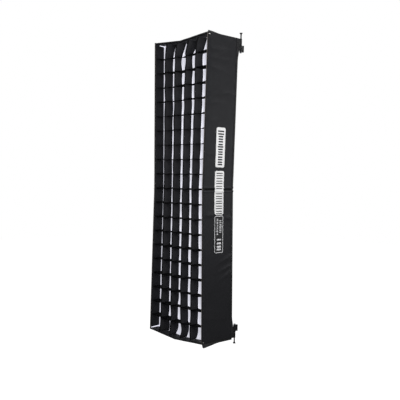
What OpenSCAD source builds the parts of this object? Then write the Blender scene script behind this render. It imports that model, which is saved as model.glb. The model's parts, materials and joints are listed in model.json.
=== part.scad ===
// Strip softbox for a long, narrow light panel.
// Two long stiffened walls are joined by two end walls that are each hinged at mid-width,
// so the box collapses sideways. A white diffuser and a fabric eggcrate grid close the front.
// Origin: centre of the rear opening. +Z up the long side, -Y out of the lit front, +X right.

/* [Box] */
// Outside width of the box at its corners
box_w = 360; // [300:5:440]
// Outside height of the box at its corners
box_h = 1320; // [1080:10:1600]
// Depth from the front edge to the rear plane
box_d = 190; // [155:5:235]
// How far each long wall leans in at its mid-height fold
waist = 14; // [0:1:20]
// How far the middle of each end wall hangs below its sides
end_sag = 13; // [6:1:20]

/* [Walls] */
// Thickness of the outer nylon skin
skin_t = 1.2; // [0.8:0.1:2]
// Thickness of the stiffener boards
board_t = 3; // [2:0.2:4]
// Thickness of the white inner lining
lining_t = 0.8; // [0.5:0.1:1.4]
// Space between one layer and the next
ply_gap = 0.1; // [0.05:0.05:0.2]
// Width of the board-free strip at each mid-height fold
fold_gap = 8; // [5:1:14]
// Width of the tape that backs the mid-height fold
fold_tape_w = 36; // [24:2:50]
// Thickness of the fold tape
fold_tape_t = 0.8; // [0.5:0.1:1.2]
// Margin from a board's edge to the edge of its wall
board_margin = 4; // [2:1:8]

/* [End walls] */
// Space between a side wall and an end wall at their hinge
hinge_gap = 1; // [0.6:0.1:2]
// Space between the two halves of an end wall, to each side of their hinge
ridge_gap = 0.3; // [0.2:0.1:0.6]
// Space between an end wall and the soft front lip
lip_gap = 2; // [1:0.5:4]

/* [Front] */
// Depth of the soft front lip that holds the diffuser and the grid
lip_d = 62; // [56:1:75]
// Thickness of the soft front lip
lip_t = 2.4; // [1.6:0.2:3.2]
// Number of grid cells across
grid_cols = 5; // [3:1:8]
// Number of grid cells up
grid_rows = 20; // [12:1:28]
// Depth of the grid from front to back
grid_depth = 46; // [40:1:52]
// Thickness of the grid strips
strip_t = 1.2; // [0.8:0.1:1.6]
// Play in the slots where grid strips cross
slot_play = 0.2; // [0.1:0.05:0.4]
// Thickness of the band around the grid
grid_band_t = 1.6; // [1:0.2:2.4]
// How far the grid sits behind the front edge
grid_setback = 2; // [1:1:4]
// Thickness of the diffuser cloth
diffuser_t = 1.2; // [0.8:0.1:1.6]
// Width of the hook tape around the diffuser
diffuser_tape_w = 22; // [16:1:30]
// Thickness of the hook tape around the diffuser
diffuser_tape_t = 1.6; // [1:0.2:2.4]
// Space between the grid and the diffuser, and between soft pieces and walls
soft_gap = 0.6; // [0.4:0.1:1]

/* [Edges] */
// Diameter of the piping on the front edge of each long wall
piping_d = 3; // [2:0.2:4]
// Height of the seam binding on the top edge of the right wall
top_fin_h = 8; // [5:1:12]
// Height of the seam binding under the right wall, at the front
low_fin_front_h = 18; // [12:1:24]
// Height of the seam binding under the right wall, at the rear
low_fin_rear_h = 8; // [5:1:12]
// Height of the left wall's seam bindings, which lie pressed flat
left_fin_h = 4; // [3:1:8]
// Thickness of a seam binding
fin_t = 2; // [1.2:0.2:3]
// Rivet head radius
rivet_r = 2.6; // [2:0.2:4]
// Rivet head height
rivet_h = 1.2; // [0.8:0.1:2]
// Distance from a rivet to the front edge and to the end of the wall
rivet_in = 7; // [6:1:10]
// How far the rear corners of the long walls reach back past the rest of the rear edge
ear_reach = 9; // [5:1:12]
// Height of a rear corner that reaches back
ear_h = 90; // [60:5:110]
// Thickness of the rear hem behind the wall
hem_t = 3; // [2:0.5:5]

/* [Labels] */
// Width of the three label patches
label_w = 54; // [40:1:66]
// Thickness of a label patch
label_t = 0.8; // [0.5:0.1:1.2]
// Middle of the label patches behind the front edge
label_behind = 93; // [80:1:115]
// Height of the upper label's lower edge above the fold
label_upper_low = 95; // [90:1:110]
// Length of the upper label
label_upper_len = 172; // [120:2:190]
// Length of the middle label above the fold
label_middle_up = 80; // [60:1:86]
// Length of the middle label below the fold
label_middle_down = 110; // [80:1:112]
// Depth of the lower label's upper edge below the fold
label_lower_top = 113; // [113:1:120]
// Length of the lower label
label_lower_len = 164; // [120:1:180]
// Corner radius of a label
label_r = 7; // [3:1:12]

/* [Corner posts and latches] */
// Radius of a corner post
post_r = 3; // [2.4:0.1:4]
// Radial clearance of a latch or a sleeve on its post
post_fit = 0.06; // [0.03:0.01:0.09]
// Distance from the rear plane back to the post's axis
post_back = 8; // [7.5:0.5:12]
// How far a post stands out past the end of the box
post_rise = 27; // [18:1:36]
// Radius of a post's flared head
head_r = 7; // [5:0.5:9]
// Height of a post's flared head
head_h = 9; // [6:1:12]
// Radius of the webbing sleeve that holds a post
sleeve_r = 4.8; // [4.4:0.1:6]
// Height of the webbing sleeve
sleeve_h = 28; // [20:1:32]
// Distance from the end of the box down to the top of the sleeve: below zero, it stands past the end
sleeve_in = -2; // [-4:1:4]
// Height of a latch
latch_h = 30; // [20:1:36]
// Reach of a latch from its post's axis
latch_reach = 17; // [14:1:26]
// Thickness of a latch arm
latch_arm_t = 8; // [6:0.5:10]
// Radius of a latch hub
latch_hub_r = 6; // [5:0.5:7]
// Radius of the collar that keeps a latch on its post
collar_r = 5; // [4.2:0.2:7]
// Height of the collar
collar_h = 4; // [3:0.5:6]
// End play of a latch between its sleeve and its collar
end_play = 0.4; // [0.2:0.1:0.8]

/* [Hidden] */
$fn = 48;

top_z = box_h / 2;
front_y = -box_d;
lip_back_y = front_y + lip_d;
rear_edge_y = -ear_reach;
wall_back_y = rear_edge_y - hem_t;
wall_t = skin_t + board_t + lining_t + 2 * ply_gap;
board_inset = skin_t + ply_gap;
lining_inset = board_inset + board_t + ply_gap;

// Pivot of an end wall on the right wall: on the end wall's lower face
pivot_x = box_w / 2 - wall_t - hinge_gap;
// Tilt and length of one end-wall half, so that its ridge hangs end_sag low at mid-width
end_tilt = asin(end_sag / pivot_x);
end_len = (pivot_x - wall_t * sin(end_tilt)) / cos(end_tilt);
end_front_y = lip_back_y + lip_gap;
end_back_y = wall_back_y;

// Where the grid and the diffuser lie
grid_front_y = front_y + grid_setback;
grid_mid_y = grid_front_y + grid_depth / 2;
grid_back_y = grid_front_y + grid_depth;
diffuser_front_y = grid_back_y + soft_gap;
tape_front_y = diffuser_front_y + diffuser_t + soft_gap;

// Where the posts stand
post_x = box_w / 2 - wall_t / 2;
sleeve_top = top_z - sleeve_in;
sleeve_low = sleeve_top - sleeve_h;
latch_top = sleeve_low - end_play;
latch_low = latch_top - latch_h;
collar_top = latch_low - end_play;
collar_low = collar_top - collar_h;

// Outside half-width of the box at height z
function half_w(z) = box_w / 2 - waist * (1 - abs(z) / top_z);
// How far an end wall hangs below its sides at x
function sag_at(x) = end_sag * (1 - abs(x) / pivot_x);
// Heights at which a long band has a corner
function band_heights(low, high) = (low < 0 && high > 0) ? [low, 0, high] : [low, high];
// Outline, in x and z, of a layer of the right wall
function band_outline(inset, thick, low, high) =
    let (zs = band_heights(low, high), n = len(zs))
    concat(
        [for (z = zs) [half_w(z) - inset, z]],
        [for (i = [n - 1:-1:0]) [half_w(zs[i]) - inset - thick, zs[i]]]
    );
// Outline, in x and z, of the box's inside, less a margin
function inside_outline(margin) = [
    [half_w(top_z) - wall_t - margin, top_z - lip_t - margin],
    [0, top_z - end_sag - lip_t - margin],
    [-half_w(top_z) + wall_t + margin, top_z - lip_t - margin],
    [-half_w(0) + wall_t + margin, 0],
    [-half_w(top_z) + wall_t + margin, -top_z + lip_t + margin],
    [0, -top_z - end_sag + lip_t + margin],
    [half_w(top_z) - wall_t - margin, -top_z + lip_t + margin],
    [half_w(0) - wall_t - margin, 0]
];

// A shape drawn in x and z, stretched from one depth to another
module between(y_front, y_back) {
    translate([0, y_back, 0])
        rotate([90, 0, 0])
            linear_extrude(y_back - y_front)
                children();
}

// A shape drawn in y and z, stretched from one width to another
module across(x_low, x_high) {
    translate([x_low, 0, 0])
        rotate([90, 0, 90])
            linear_extrude(x_high - x_low)
                children();
}

module wall_layer(inset, thick, low, high, y_front, y_back) {
    between(y_front, y_back)
        polygon(band_outline(inset, thick, low, high));
}

module both_ends() {
    children();
    mirror([0, 0, 1]) children();
}

module left() {
    mirror([1, 0, 0]) children();
}

// ---- long walls ----

module side_board() {
    color("#3a3a3c")
        wall_layer(board_inset, board_t, fold_gap / 2, top_z - board_margin,
            front_y + board_margin, wall_back_y);
}

module side_skin() {
    color("#262628")
        wall_layer(0, skin_t, -top_z, top_z, front_y, wall_back_y);
}

module side_lining() {
    color("#e8e8ec")
        wall_layer(lining_inset, lining_t, -top_z, top_z, front_y, wall_back_y);
}

// The tape lies on the inside of the wall, over its fold, behind the diffuser
module side_fold_tape() {
    color("#d8d8dc")
        wall_layer(wall_t + ply_gap, fold_tape_t, -fold_tape_w / 2, fold_tape_w / 2,
            end_front_y, wall_back_y);
}

module side_front_piping() {
    color("#4a4542")
        wall_layer((wall_t - piping_d) / 2, piping_d, -top_z, top_z, front_y - piping_d, front_y);
}

// The straight edge of the hem ends where the rear corner starts to reach back
module side_rear_hem() {
    ear_foot = top_z - ear_h;
    ear_flat = top_z - ear_h / 3;
    color("#1e1e20")
        both_ends() {
            wall_layer(0, wall_t, fold_gap / 2, ear_foot, wall_back_y, rear_edge_y);
            intersection() {
                wall_layer(0, wall_t, ear_foot + ply_gap, top_z, wall_back_y, 0);
                across(0, box_w / 2)
                    polygon([
                        [wall_back_y, ear_foot], [rear_edge_y, ear_foot], [0, ear_flat],
                        [0, top_z], [wall_back_y, top_z]
                    ]);
            }
        }
}

module side_seam_bindings(top_h, low_front_h, low_rear_h) {
    fin_x = box_w / 2 - fin_t;
    color("#303032")
        across(fin_x, box_w / 2) {
            polygon([
                [front_y, top_z], [wall_back_y, top_z],
                [wall_back_y, top_z + top_h / 2], [front_y, top_z + top_h]
            ]);
            polygon([
                [front_y, -top_z], [front_y + low_front_h / 4, -top_z - low_front_h],
                [wall_back_y, -top_z - low_rear_h], [wall_back_y, -top_z]
            ]);
        }
}

module side_rivets() {
    rivet_z = top_z - rivet_in;
    color("silver")
        both_ends()
            translate([half_w(rivet_z) + ply_gap, front_y + rivet_in, rivet_z])
                rotate([0, 90, 0])
                    cylinder(r = rivet_r, h = rivet_h);
}

// ---- end walls ----

// One layer of the right half of an end wall. low is how far the layer lies above its lower face.
module end_layer(pivot_z, low, thick, margin) {
    translate([pivot_x, 0, pivot_z])
        rotate([0, -end_tilt, 0])
            translate([-end_len + ridge_gap + margin, end_front_y + margin, low])
                cube([end_len - ridge_gap - 2 * margin, end_back_y - end_front_y - 2 * margin, thick]);
}

module top_board() {
    color("#3a3a3c")
        end_layer(top_z - wall_t, lining_t + ply_gap, board_t, board_margin);
}

module top_skin() {
    color("#262628")
        end_layer(top_z - wall_t, wall_t - skin_t, skin_t, 0);
}

module top_lining() {
    color("#e8e8ec")
        end_layer(top_z - wall_t, 0, lining_t, 0);
}

module bottom_board() {
    color("#3a3a3c")
        end_layer(-top_z, board_inset, board_t, board_margin);
}

module bottom_skin() {
    color("#262628")
        end_layer(-top_z, 0, skin_t, 0);
}

module bottom_lining() {
    color("#e8e8ec")
        end_layer(-top_z, lining_inset, lining_t, 0);
}

// ---- soft front ----

// The lip between the two long walls. low is the height of its lower face at the sides.
module front_lip(low) {
    side_x = half_w(top_z) - wall_t - soft_gap;
    color("#262628")
        between(front_y, lip_back_y)
            polygon([
                [side_x, low], [side_x, low + lip_t],
                [0, low + lip_t - end_sag],
                [-side_x, low + lip_t], [-side_x, low],
                [0, low - end_sag]
            ]);
}

module grid_band() {
    color("#1a1a1c")
        between(grid_front_y, grid_back_y)
            difference() {
                polygon(inside_outline(soft_gap));
                polygon(inside_outline(soft_gap + grid_band_t));
            }
}

// Inside half-width of the grid band at height z
function grid_half_w(z) = half_w(z) - wall_t - soft_gap - grid_band_t;
// Heights of the grid's top and bottom band at x
function grid_top(x) = top_z - lip_t - soft_gap - grid_band_t - sag_at(x);
function grid_low(x) = -top_z + lip_t + soft_gap + grid_band_t - sag_at(x);
// Height of a cross strip: the rows share the height of the band's sides
function row_z(row) = (2 * row / grid_rows - 1) * (top_z - lip_t - soft_gap - grid_band_t);
// How far a cross strip hangs at mid-width: most at the two ends, none at the fold
function row_sag(row) = end_sag * pow(2 * row / grid_rows - 1, 4);
// Share of the half-width at which a long strip runs
function col_share(col) = 2 * col / grid_cols - 1;

module long_strip_outline(col) {
    share = col_share(col);
    end_x = share * grid_half_w(top_z);
    mid_x = share * grid_half_w(0);
    high = grid_top(end_x) - soft_gap;
    low = grid_low(end_x) + soft_gap;
    polygon([
        [end_x - strip_t / 2, low], [end_x + strip_t / 2, low], [mid_x + strip_t / 2, 0],
        [end_x + strip_t / 2, high], [end_x - strip_t / 2, high], [mid_x - strip_t / 2, 0]
    ]);
}

module cross_strip_outline(row, thick) {
    z = row_z(row);
    side_x = grid_half_w(z) - soft_gap;
    drop = row_sag(row);
    polygon([
        [-side_x, z - thick / 2], [0, z - drop - thick / 2], [side_x, z - thick / 2],
        [side_x, z + thick / 2], [0, z - drop + thick / 2], [-side_x, z + thick / 2]
    ]);
}

module long_strip_slots() {
    for (row = [1:grid_rows - 1])
        cross_strip_outline(row, strip_t + 2 * slot_play);
}

module cross_strip_slots() {
    for (col = [1:grid_cols - 1]) {
        share = col_share(col);
        end_x = share * grid_half_w(top_z);
        mid_x = share * grid_half_w(0);
        slot = strip_t / 2 + slot_play;
        polygon([
            [end_x - slot, -top_z], [end_x + slot, -top_z], [mid_x + slot, 0],
            [end_x + slot, top_z], [end_x - slot, top_z], [mid_x - slot, 0]
        ]);
    }
}

// Each long strip is whole in its rear half and slotted in its front half
module grid_long_strips() {
    color("#1a1a1c")
        for (col = [1:grid_cols - 1]) {
            between(grid_mid_y, grid_back_y)
                long_strip_outline(col);
            between(grid_front_y, grid_mid_y)
                difference() {
                    long_strip_outline(col);
                    long_strip_slots();
                }
        }
}

// Each cross strip is whole in its front half and slotted in its rear half
module grid_cross_strips() {
    seam_y = grid_mid_y - slot_play;
    color("#1a1a1c")
        for (row = [1:grid_rows - 1]) {
            between(grid_front_y, seam_y)
                cross_strip_outline(row, strip_t);
            between(seam_y, grid_back_y)
                difference() {
                    cross_strip_outline(row, strip_t);
                    cross_strip_slots();
                }
        }
}

module diffuser() {
    color("#f0eff4")
        between(diffuser_front_y, diffuser_front_y + diffuser_t)
            polygon(inside_outline(soft_gap));
}

module diffuser_tape() {
    color("#2a2a2c")
        between(tape_front_y, tape_front_y + diffuser_tape_t)
            difference() {
                polygon(inside_outline(soft_gap));
                polygon(inside_outline(soft_gap + diffuser_tape_w));
            }
}

// ---- labels ----

// A label patch that follows the wall, with its round corners in y and z
module label_patch(low, high) {
    middle_y = front_y + label_behind;
    intersection() {
        wall_layer(-ply_gap - label_t, label_t, low, high,
            middle_y - label_w / 2, middle_y + label_w / 2);
        across(0, box_w)
            translate([middle_y - label_w / 2, low])
                rounded_rectangle(label_w, high - low, label_r);
    }
}

module rounded_rectangle(width, height, r) {
    union() {
        translate([r, 0]) square([width - 2 * r, height]);
        translate([0, r]) square([width, height - 2 * r]);
        for (x = [r, width - r])
            for (y = [r, height - r])
                translate([x, y]) circle(r = r);
    }
}

module upper_label() {
    color("#e6e6ea")
        label_patch(label_upper_low, label_upper_low + label_upper_len);
}

module middle_label() {
    color("#e6e6ea")
        label_patch(-label_middle_down, label_middle_up);
}

module lower_label() {
    color("#161618")
        label_patch(-label_lower_top - label_lower_len, -label_lower_top);
}

// ---- corner posts and latches ----

module corner_posts() {
    color("#141416")
        both_ends() {
            translate([post_x, post_back, collar_low])
                cylinder(r = post_r, h = top_z + post_rise - head_h - collar_low);
            translate([post_x, post_back, top_z + post_rise - head_h])
                cylinder(r1 = post_r, r2 = head_r, h = head_h * 0.75);
            translate([post_x, post_back, top_z + post_rise - head_h / 4])
                cylinder(r = head_r, h = head_h / 4);
        }
}

module post_sleeves() {
    color("#202022")
        both_ends()
            difference() {
                union() {
                    translate([post_x, post_back, sleeve_low])
                        cylinder(r = sleeve_r, h = sleeve_h);
                    translate([post_x - wall_t / 2, 0, sleeve_low])
                        cube([wall_t, post_back, sleeve_h]);
                }
                translate([post_x, post_back, sleeve_low - 1])
                    cylinder(r = post_r + post_fit, h = sleeve_h + 2);
            }
}

module post_collars() {
    color("#3c3c40")
        both_ends()
            difference() {
                translate([post_x, post_back, collar_low])
                    cylinder(r = collar_r, h = collar_h);
                translate([post_x, post_back, collar_low - 1])
                    cylinder(r = post_r + post_fit, h = collar_h + 2);
            }
}

module latch() {
    arm_len = latch_reach - latch_arm_t / 2;
    color("#101012")
        difference() {
            translate([post_x, post_back, latch_low]) {
                cylinder(r = latch_hub_r, h = latch_h);
                translate([-latch_arm_t / 2, 0, 0])
                    cube([latch_arm_t, arm_len, latch_h]);
                translate([0, arm_len, 0])
                    cylinder(r = latch_arm_t / 2, h = latch_h);
            }
            translate([post_x, post_back, latch_low - 1])
                cylinder(r = post_r + post_fit, h = latch_h + 2);
        }
}

side_board();  // right_upper_board
mirror([0, 0, 1]) side_board();  // right_lower_board
side_skin();  // right_skin
side_lining();  // right_lining
side_fold_tape();  // right_fold_tape
side_front_piping();  // right_front_piping
side_rear_hem();  // right_rear_hem
side_seam_bindings(top_fin_h, low_fin_front_h, low_fin_rear_h);  // right_seam_bindings
side_rivets();  // right_rivets
left() side_board();  // left_upper_board
left() mirror([0, 0, 1]) side_board();  // left_lower_board
left() side_skin();  // left_skin
left() side_lining();  // left_lining
left() side_fold_tape();  // left_fold_tape
left() side_front_piping();  // left_front_piping
left() side_rear_hem();  // left_rear_hem
left() side_seam_bindings(left_fin_h, left_fin_h, left_fin_h);  // left_seam_bindings
left() side_rivets();  // left_rivets
top_board();  // top_right_board
top_skin();  // top_right_skin
top_lining();  // top_right_lining
left() top_board();  // top_left_board
left() top_skin();  // top_left_skin
left() top_lining();  // top_left_lining
bottom_board();  // bottom_right_board
bottom_skin();  // bottom_right_skin
bottom_lining();  // bottom_right_lining
left() bottom_board();  // bottom_left_board
left() bottom_skin();  // bottom_left_skin
left() bottom_lining();  // bottom_left_lining
front_lip(top_z - lip_t);  // top_front_lip
front_lip(-top_z);  // bottom_front_lip
grid_band();
grid_long_strips();
grid_cross_strips();
diffuser();
diffuser_tape();
upper_label();
middle_label();
lower_label();
corner_posts();  // right_corner_posts
post_sleeves();  // right_post_sleeves
post_collars();  // right_post_collars
left() corner_posts();  // left_corner_posts
left() post_sleeves();  // left_post_sleeves
left() post_collars();  // left_post_collars
latch();  // upper_right_latch
mirror([0, 0, 1]) latch();  // lower_right_latch
left() latch();  // upper_left_latch
left() mirror([0, 0, 1]) latch();  // lower_left_latch
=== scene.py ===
"""Builds the cloth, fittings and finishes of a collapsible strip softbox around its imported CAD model.

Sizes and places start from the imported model's boxes, joints and mounts, in metres. The two long walls
stand apart in X, the lit front looks along -Y, and Z runs up the long side.
"""

import json
import math
import random

import bmesh
import bpy
from mathutils import Matrix, Vector, noise


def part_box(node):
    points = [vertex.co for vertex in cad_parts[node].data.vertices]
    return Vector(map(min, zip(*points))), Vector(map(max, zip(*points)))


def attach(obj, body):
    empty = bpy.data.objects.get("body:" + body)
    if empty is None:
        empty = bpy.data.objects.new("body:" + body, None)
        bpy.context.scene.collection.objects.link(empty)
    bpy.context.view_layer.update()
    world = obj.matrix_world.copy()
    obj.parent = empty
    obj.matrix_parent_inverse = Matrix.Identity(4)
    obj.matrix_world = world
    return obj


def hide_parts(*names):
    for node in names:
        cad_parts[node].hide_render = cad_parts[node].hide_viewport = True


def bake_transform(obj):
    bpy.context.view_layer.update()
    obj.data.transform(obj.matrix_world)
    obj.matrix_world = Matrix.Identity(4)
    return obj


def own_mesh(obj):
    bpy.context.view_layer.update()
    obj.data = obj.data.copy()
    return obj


bl_info = {
    "name": "Strip Softbox Builder",
    "version": (1, 0, 0),
    "blender": (4, 5, 0),
    "location": "3D View > Sidebar > Softbox",
    "description": "Builds the cloth, fittings and finishes of a collapsible strip softbox",
    "category": "Object",
}

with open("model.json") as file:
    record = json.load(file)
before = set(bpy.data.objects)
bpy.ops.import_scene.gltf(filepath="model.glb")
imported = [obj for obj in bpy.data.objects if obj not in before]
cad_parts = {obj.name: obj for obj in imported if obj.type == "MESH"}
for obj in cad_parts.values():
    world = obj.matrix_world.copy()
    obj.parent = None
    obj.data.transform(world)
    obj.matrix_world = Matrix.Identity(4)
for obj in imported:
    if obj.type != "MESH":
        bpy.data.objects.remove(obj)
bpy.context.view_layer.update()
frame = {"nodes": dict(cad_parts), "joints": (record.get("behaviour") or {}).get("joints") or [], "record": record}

MM = 0.001


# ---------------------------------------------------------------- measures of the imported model


def low(node):
    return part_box(node)[0]


def high(node):
    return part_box(node)[1]


JOINTS = {joint["name"]: joint for joint in frame["joints"]}
MOUNTS = {mount["name"]: mount for mount in frame["record"]["mounts"]}

SIDE = high("right_skin").x  # half the outside width at the corners
TOP = high("right_skin").z  # half the outside height
FRONT = low("right_skin").y
WALL_BACK = high("right_skin").y
REAR_EDGE = MOUNTS["rear_rim"]["pos_m"][1]
PIPING = high("right_front_piping").y - low("right_front_piping").y
WAIST = high("right_front_piping").x - low("right_front_piping").x - PIPING
WALL = SIDE - WAIST - low("right_lining").x
SAG = -(high("diffuser").z + low("diffuser").z)
LIP_BACK = high("top_front_lip").y
LIP = TOP - SAG - low("top_front_lip").z
HINGE_X = JOINTS["collapse"]["pos_m"][0]
END_TILT = math.asin(SAG / HINGE_X)
END_LEN = (HINGE_X - WALL * math.sin(END_TILT)) / math.cos(END_TILT)
END_FRONT = low("top_right_skin").y
END_BACK = high("top_right_skin").y
BAND_X = high("grid_band").x
SOFT_GAP = SIDE - WALL - BAND_X
GRID_FRONT = low("grid_band").y
GRID_BACK = high("grid_band").y
GRID_DEPTH = GRID_BACK - GRID_FRONT
POST_X = (low("right_corner_posts").x + high("right_corner_posts").x) / 2
POST_Y = (low("right_corner_posts").y + high("right_corner_posts").y) / 2


def half_width(z):
    """Outside half-width of the box at height z: the long walls lean in to their fold."""
    return SIDE - WAIST * (1 - min(abs(z) / TOP, 1))


def sag_at(x):
    """How far an end wall or a lip hangs below its sides at x."""
    return SAG * max(0.0, 1 - abs(x) / HINGE_X)


def mix(a, b, t):
    return a + (b - a) * t


def step(t):
    """A smooth step from 0 to 1."""
    t = min(max(t, 0.0), 1.0)
    return t * t * (3 - 2 * t)


def wave(seed, *place):
    """Smooth noise from -1 to 1 at a place given in its own wavelengths."""
    p = list(place) + [0.0] * (3 - len(place))
    return noise.noise(Vector((p[0] + seed * 17.3, p[1] - seed * 5.1, p[2] + seed * 2.7)))


def along(points, t):
    """The place at share t of a line through points."""
    spans = [(Vector(b) - Vector(a)).length for a, b in zip(points, points[1:])]
    left = t * sum(spans)
    for a, b, span in zip(points, points[1:], spans):
        if left <= span:
            return Vector(a).lerp(Vector(b), left / span if span else 0)
        left -= span
    return Vector(points[-1])


# ---------------------------------------------------------------- settings


def length_setting(name, description, value):
    """A length for the panel, given in millimetres."""
    return bpy.props.FloatProperty(
        name=name, description=description, default=value * MM, unit="LENGTH"
    )


def colour_setting(name, description, value):
    return bpy.props.FloatVectorProperty(
        name=name, description=description, default=value, subtype="COLOR"
    )


class SoftboxSizes(bpy.types.PropertyGroup):
    grid_columns: bpy.props.IntProperty(
        name="Grid columns", description="Cells across the grid", default=5, min=2
    )
    grid_rows: bpy.props.IntProperty(
        name="Grid rows", description="Cells up the grid", default=20, min=2
    )
    cloth: length_setting("Cover thickness", "Thickness of the nylon cover", 0.9)
    strip: length_setting("Strip thickness", "Thickness of a grid strip", 1.2)
    ear: length_setting("Rear corner height", "Height of the hem corner that reaches back", 90)
    hem: length_setting("Hem width", "Width of the rear hem's flange on the cover", 9)
    stitch: length_setting("Stitch pitch", "Distance from one stitch to the next", 6)
    wrinkle: length_setting("Wrinkle height", "Height of the cover's soft wrinkles", 5.2)


class SoftboxColours(bpy.types.PropertyGroup):
    nylon: colour_setting("Nylon", "Cover cloth", (0.0165, 0.0168, 0.0192))
    grid: colour_setting("Grid cloth", "Eggcrate strips", (0.0305, 0.0305, 0.0335))
    diffusion: colour_setting("Diffusion cloth", "Front diffuser", (0.83, 0.83, 0.925))
    lining: colour_setting("Lining", "White reflective lining", (0.80, 0.80, 0.82))
    piping: colour_setting("Piping", "Front edge piping", (0.105, 0.092, 0.083))
    label: colour_setting("Pale label", "Pale label patch", (0.80, 0.80, 0.80))


def sizes():
    return bpy.context.scene.softbox_sizes


def colours():
    return bpy.context.scene.softbox_colours


# ---------------------------------------------------------------- shader maths


class Wire:
    """A node's output that Python expressions can go on from, in Math nodes."""

    def __init__(self, finish, socket):
        self.finish = finish
        self.socket = socket

    def _math(self, operation, *values):
        return self.finish.node("ShaderNodeMath", {"operation": operation}, dict(enumerate(values)))

    def __add__(self, other):
        return self._math("ADD", self, other)

    def __sub__(self, other):
        return self._math("SUBTRACT", self, other)

    def __rsub__(self, other):
        return self._math("SUBTRACT", other, self)

    def __mul__(self, other):
        return self._math("MULTIPLY", self, other)

    def __truediv__(self, other):
        return self._math("DIVIDE", self, other)

    __radd__ = __add__
    __rmul__ = __mul__

    def sine(self):
        return self._math("SINE", self)

    def size(self):
        return self._math("ABSOLUTE", self)

    def over(self, limit):
        return self._math("GREATER_THAN", self, limit)

    def most(self, other):
        return self._math("MAXIMUM", self, other)


class Finish:
    """A material: its Principled shader takes constants, and wires for what varies over a surface."""

    def __init__(self, name, **constants):
        self.material = bpy.data.materials.new(name)
        self.material.use_nodes = True
        self.tree = self.material.node_tree
        self.shader = self.tree.nodes["Principled BSDF"]
        for socket, value in constants.items():
            self.shader.inputs[socket.replace("_", " ")].default_value = value

    def node(self, kind, settings=None, inputs=None, output=0):
        """A node of any kind: settings first, then the values or wires of its inputs."""
        made = self.tree.nodes.new(kind)
        for name, value in (settings or {}).items():
            setattr(made, name, value)
        for name, value in (inputs or {}).items():
            socket = made.inputs[name]
            if isinstance(value, Wire):
                self.tree.links.new(value.socket, socket)
            else:
                socket.default_value = value
        return Wire(self, made.outputs[output])

    def feed(self, socket, wire):
        self.tree.links.new(wire.socket, self.shader.inputs[socket])

    def fed(self, socket):
        """The wire that already feeds a socket of the shader."""
        return Wire(self, self.shader.inputs[socket].links[0].from_socket)

    def surface(self):
        """The piece's own map, in metres: across and along the cloth."""
        uv = self.node("ShaderNodeTexCoord", output="UV")
        split = self.node("ShaderNodeSeparateXYZ", inputs={0: uv})
        return split, self.node_of(split, 1)

    def node_of(self, wire, output):
        return Wire(self, wire.socket.node.outputs[output])

    def noise(self, scale, detail=3.0):
        """Noise that stays with the piece: scale is its cells to a metre."""
        place = self.node("ShaderNodeTexCoord", output="Object")
        return self.node(
            "ShaderNodeTexNoise", None,
            {"Vector": place, "Scale": scale, "Detail": detail, "Roughness": 0.55},
        )

    def between(self, share, colour_a, colour_b):
        """A colour that goes from a to b as share goes from 0 to 1. Either may be a wire."""
        mixed = self.node("ShaderNodeMix", {"data_type": "RGBA"}, {0: share})
        sockets = mixed.socket.node.inputs
        for index, colour in ((6, colour_a), (7, colour_b)):
            if isinstance(colour, Wire):
                self.tree.links.new(colour.socket, sockets[index])
            else:
                sockets[index].default_value = (*colour, 1.0)
        return self.node_of(mixed, 2)

    def bump(self, height, strength, distance):
        self.feed("Normal", self.node(
            "ShaderNodeBump", None, {"Height": height, "Strength": strength, "Distance": distance}
        ))


def shade(colour, factor):
    return tuple(min(c * factor, 1.0) for c in colour)


def woven(finish, pitch):
    """Height of a plain weave of that pitch, from 0 to 1, on the piece's own map."""
    across, up = finish.surface()
    turn = 2 * math.pi / pitch
    return (across * turn).sine() * (up * turn).sine() * 0.5 + 0.5


def ribbed(finish, pitch):
    """Height of ribs across the cloth, from 0 to 1, on the piece's own map."""
    _, up = finish.surface()
    return (up * (math.pi / pitch)).sine().size()


def twisted(finish, pitch):
    """Height of a twisted cord's strands, from 0 to 1, on the piece's own map."""
    across, up = finish.surface()
    return ((across * 1.6 + up) * (math.pi / pitch)).sine().size()


def cloth_finish(name, colour, height, roughness, strength, pitch, spread=0.35, **constants):
    """A cloth: its weave in bump and colour, and slow patches of lighter and darker cloth."""
    finish = Finish(name, **constants)
    relief = height(finish, pitch)
    patches = finish.noise(9.0)
    fibre = finish.noise(900.0, 2.0)
    tone = patches * 0.6 + fibre * 0.25 + relief * 0.15
    finish.feed("Base Color", finish.between(
        tone, shade(colour, 1 - spread), shade(colour, 1 + spread)
    ))
    finish.feed("Roughness", roughness - 0.06 + 0.16 * patches)
    finish.bump(relief + 0.35 * fibre, strength, pitch * 0.35)
    return finish


def grained_finish(name, grain, colour_a, colour_b, roughness, relief, **constants):
    """A plain material: one fine grain in its colour, its roughness and its relief."""
    finish = Finish(name, **constants)
    height = finish.noise(*grain)
    finish.feed("Base Color", finish.between(height, colour_a, colour_b))
    finish.feed("Roughness", height * 0.2 + roughness)
    if relief:
        finish.bump(height, *relief)
    return finish


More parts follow.
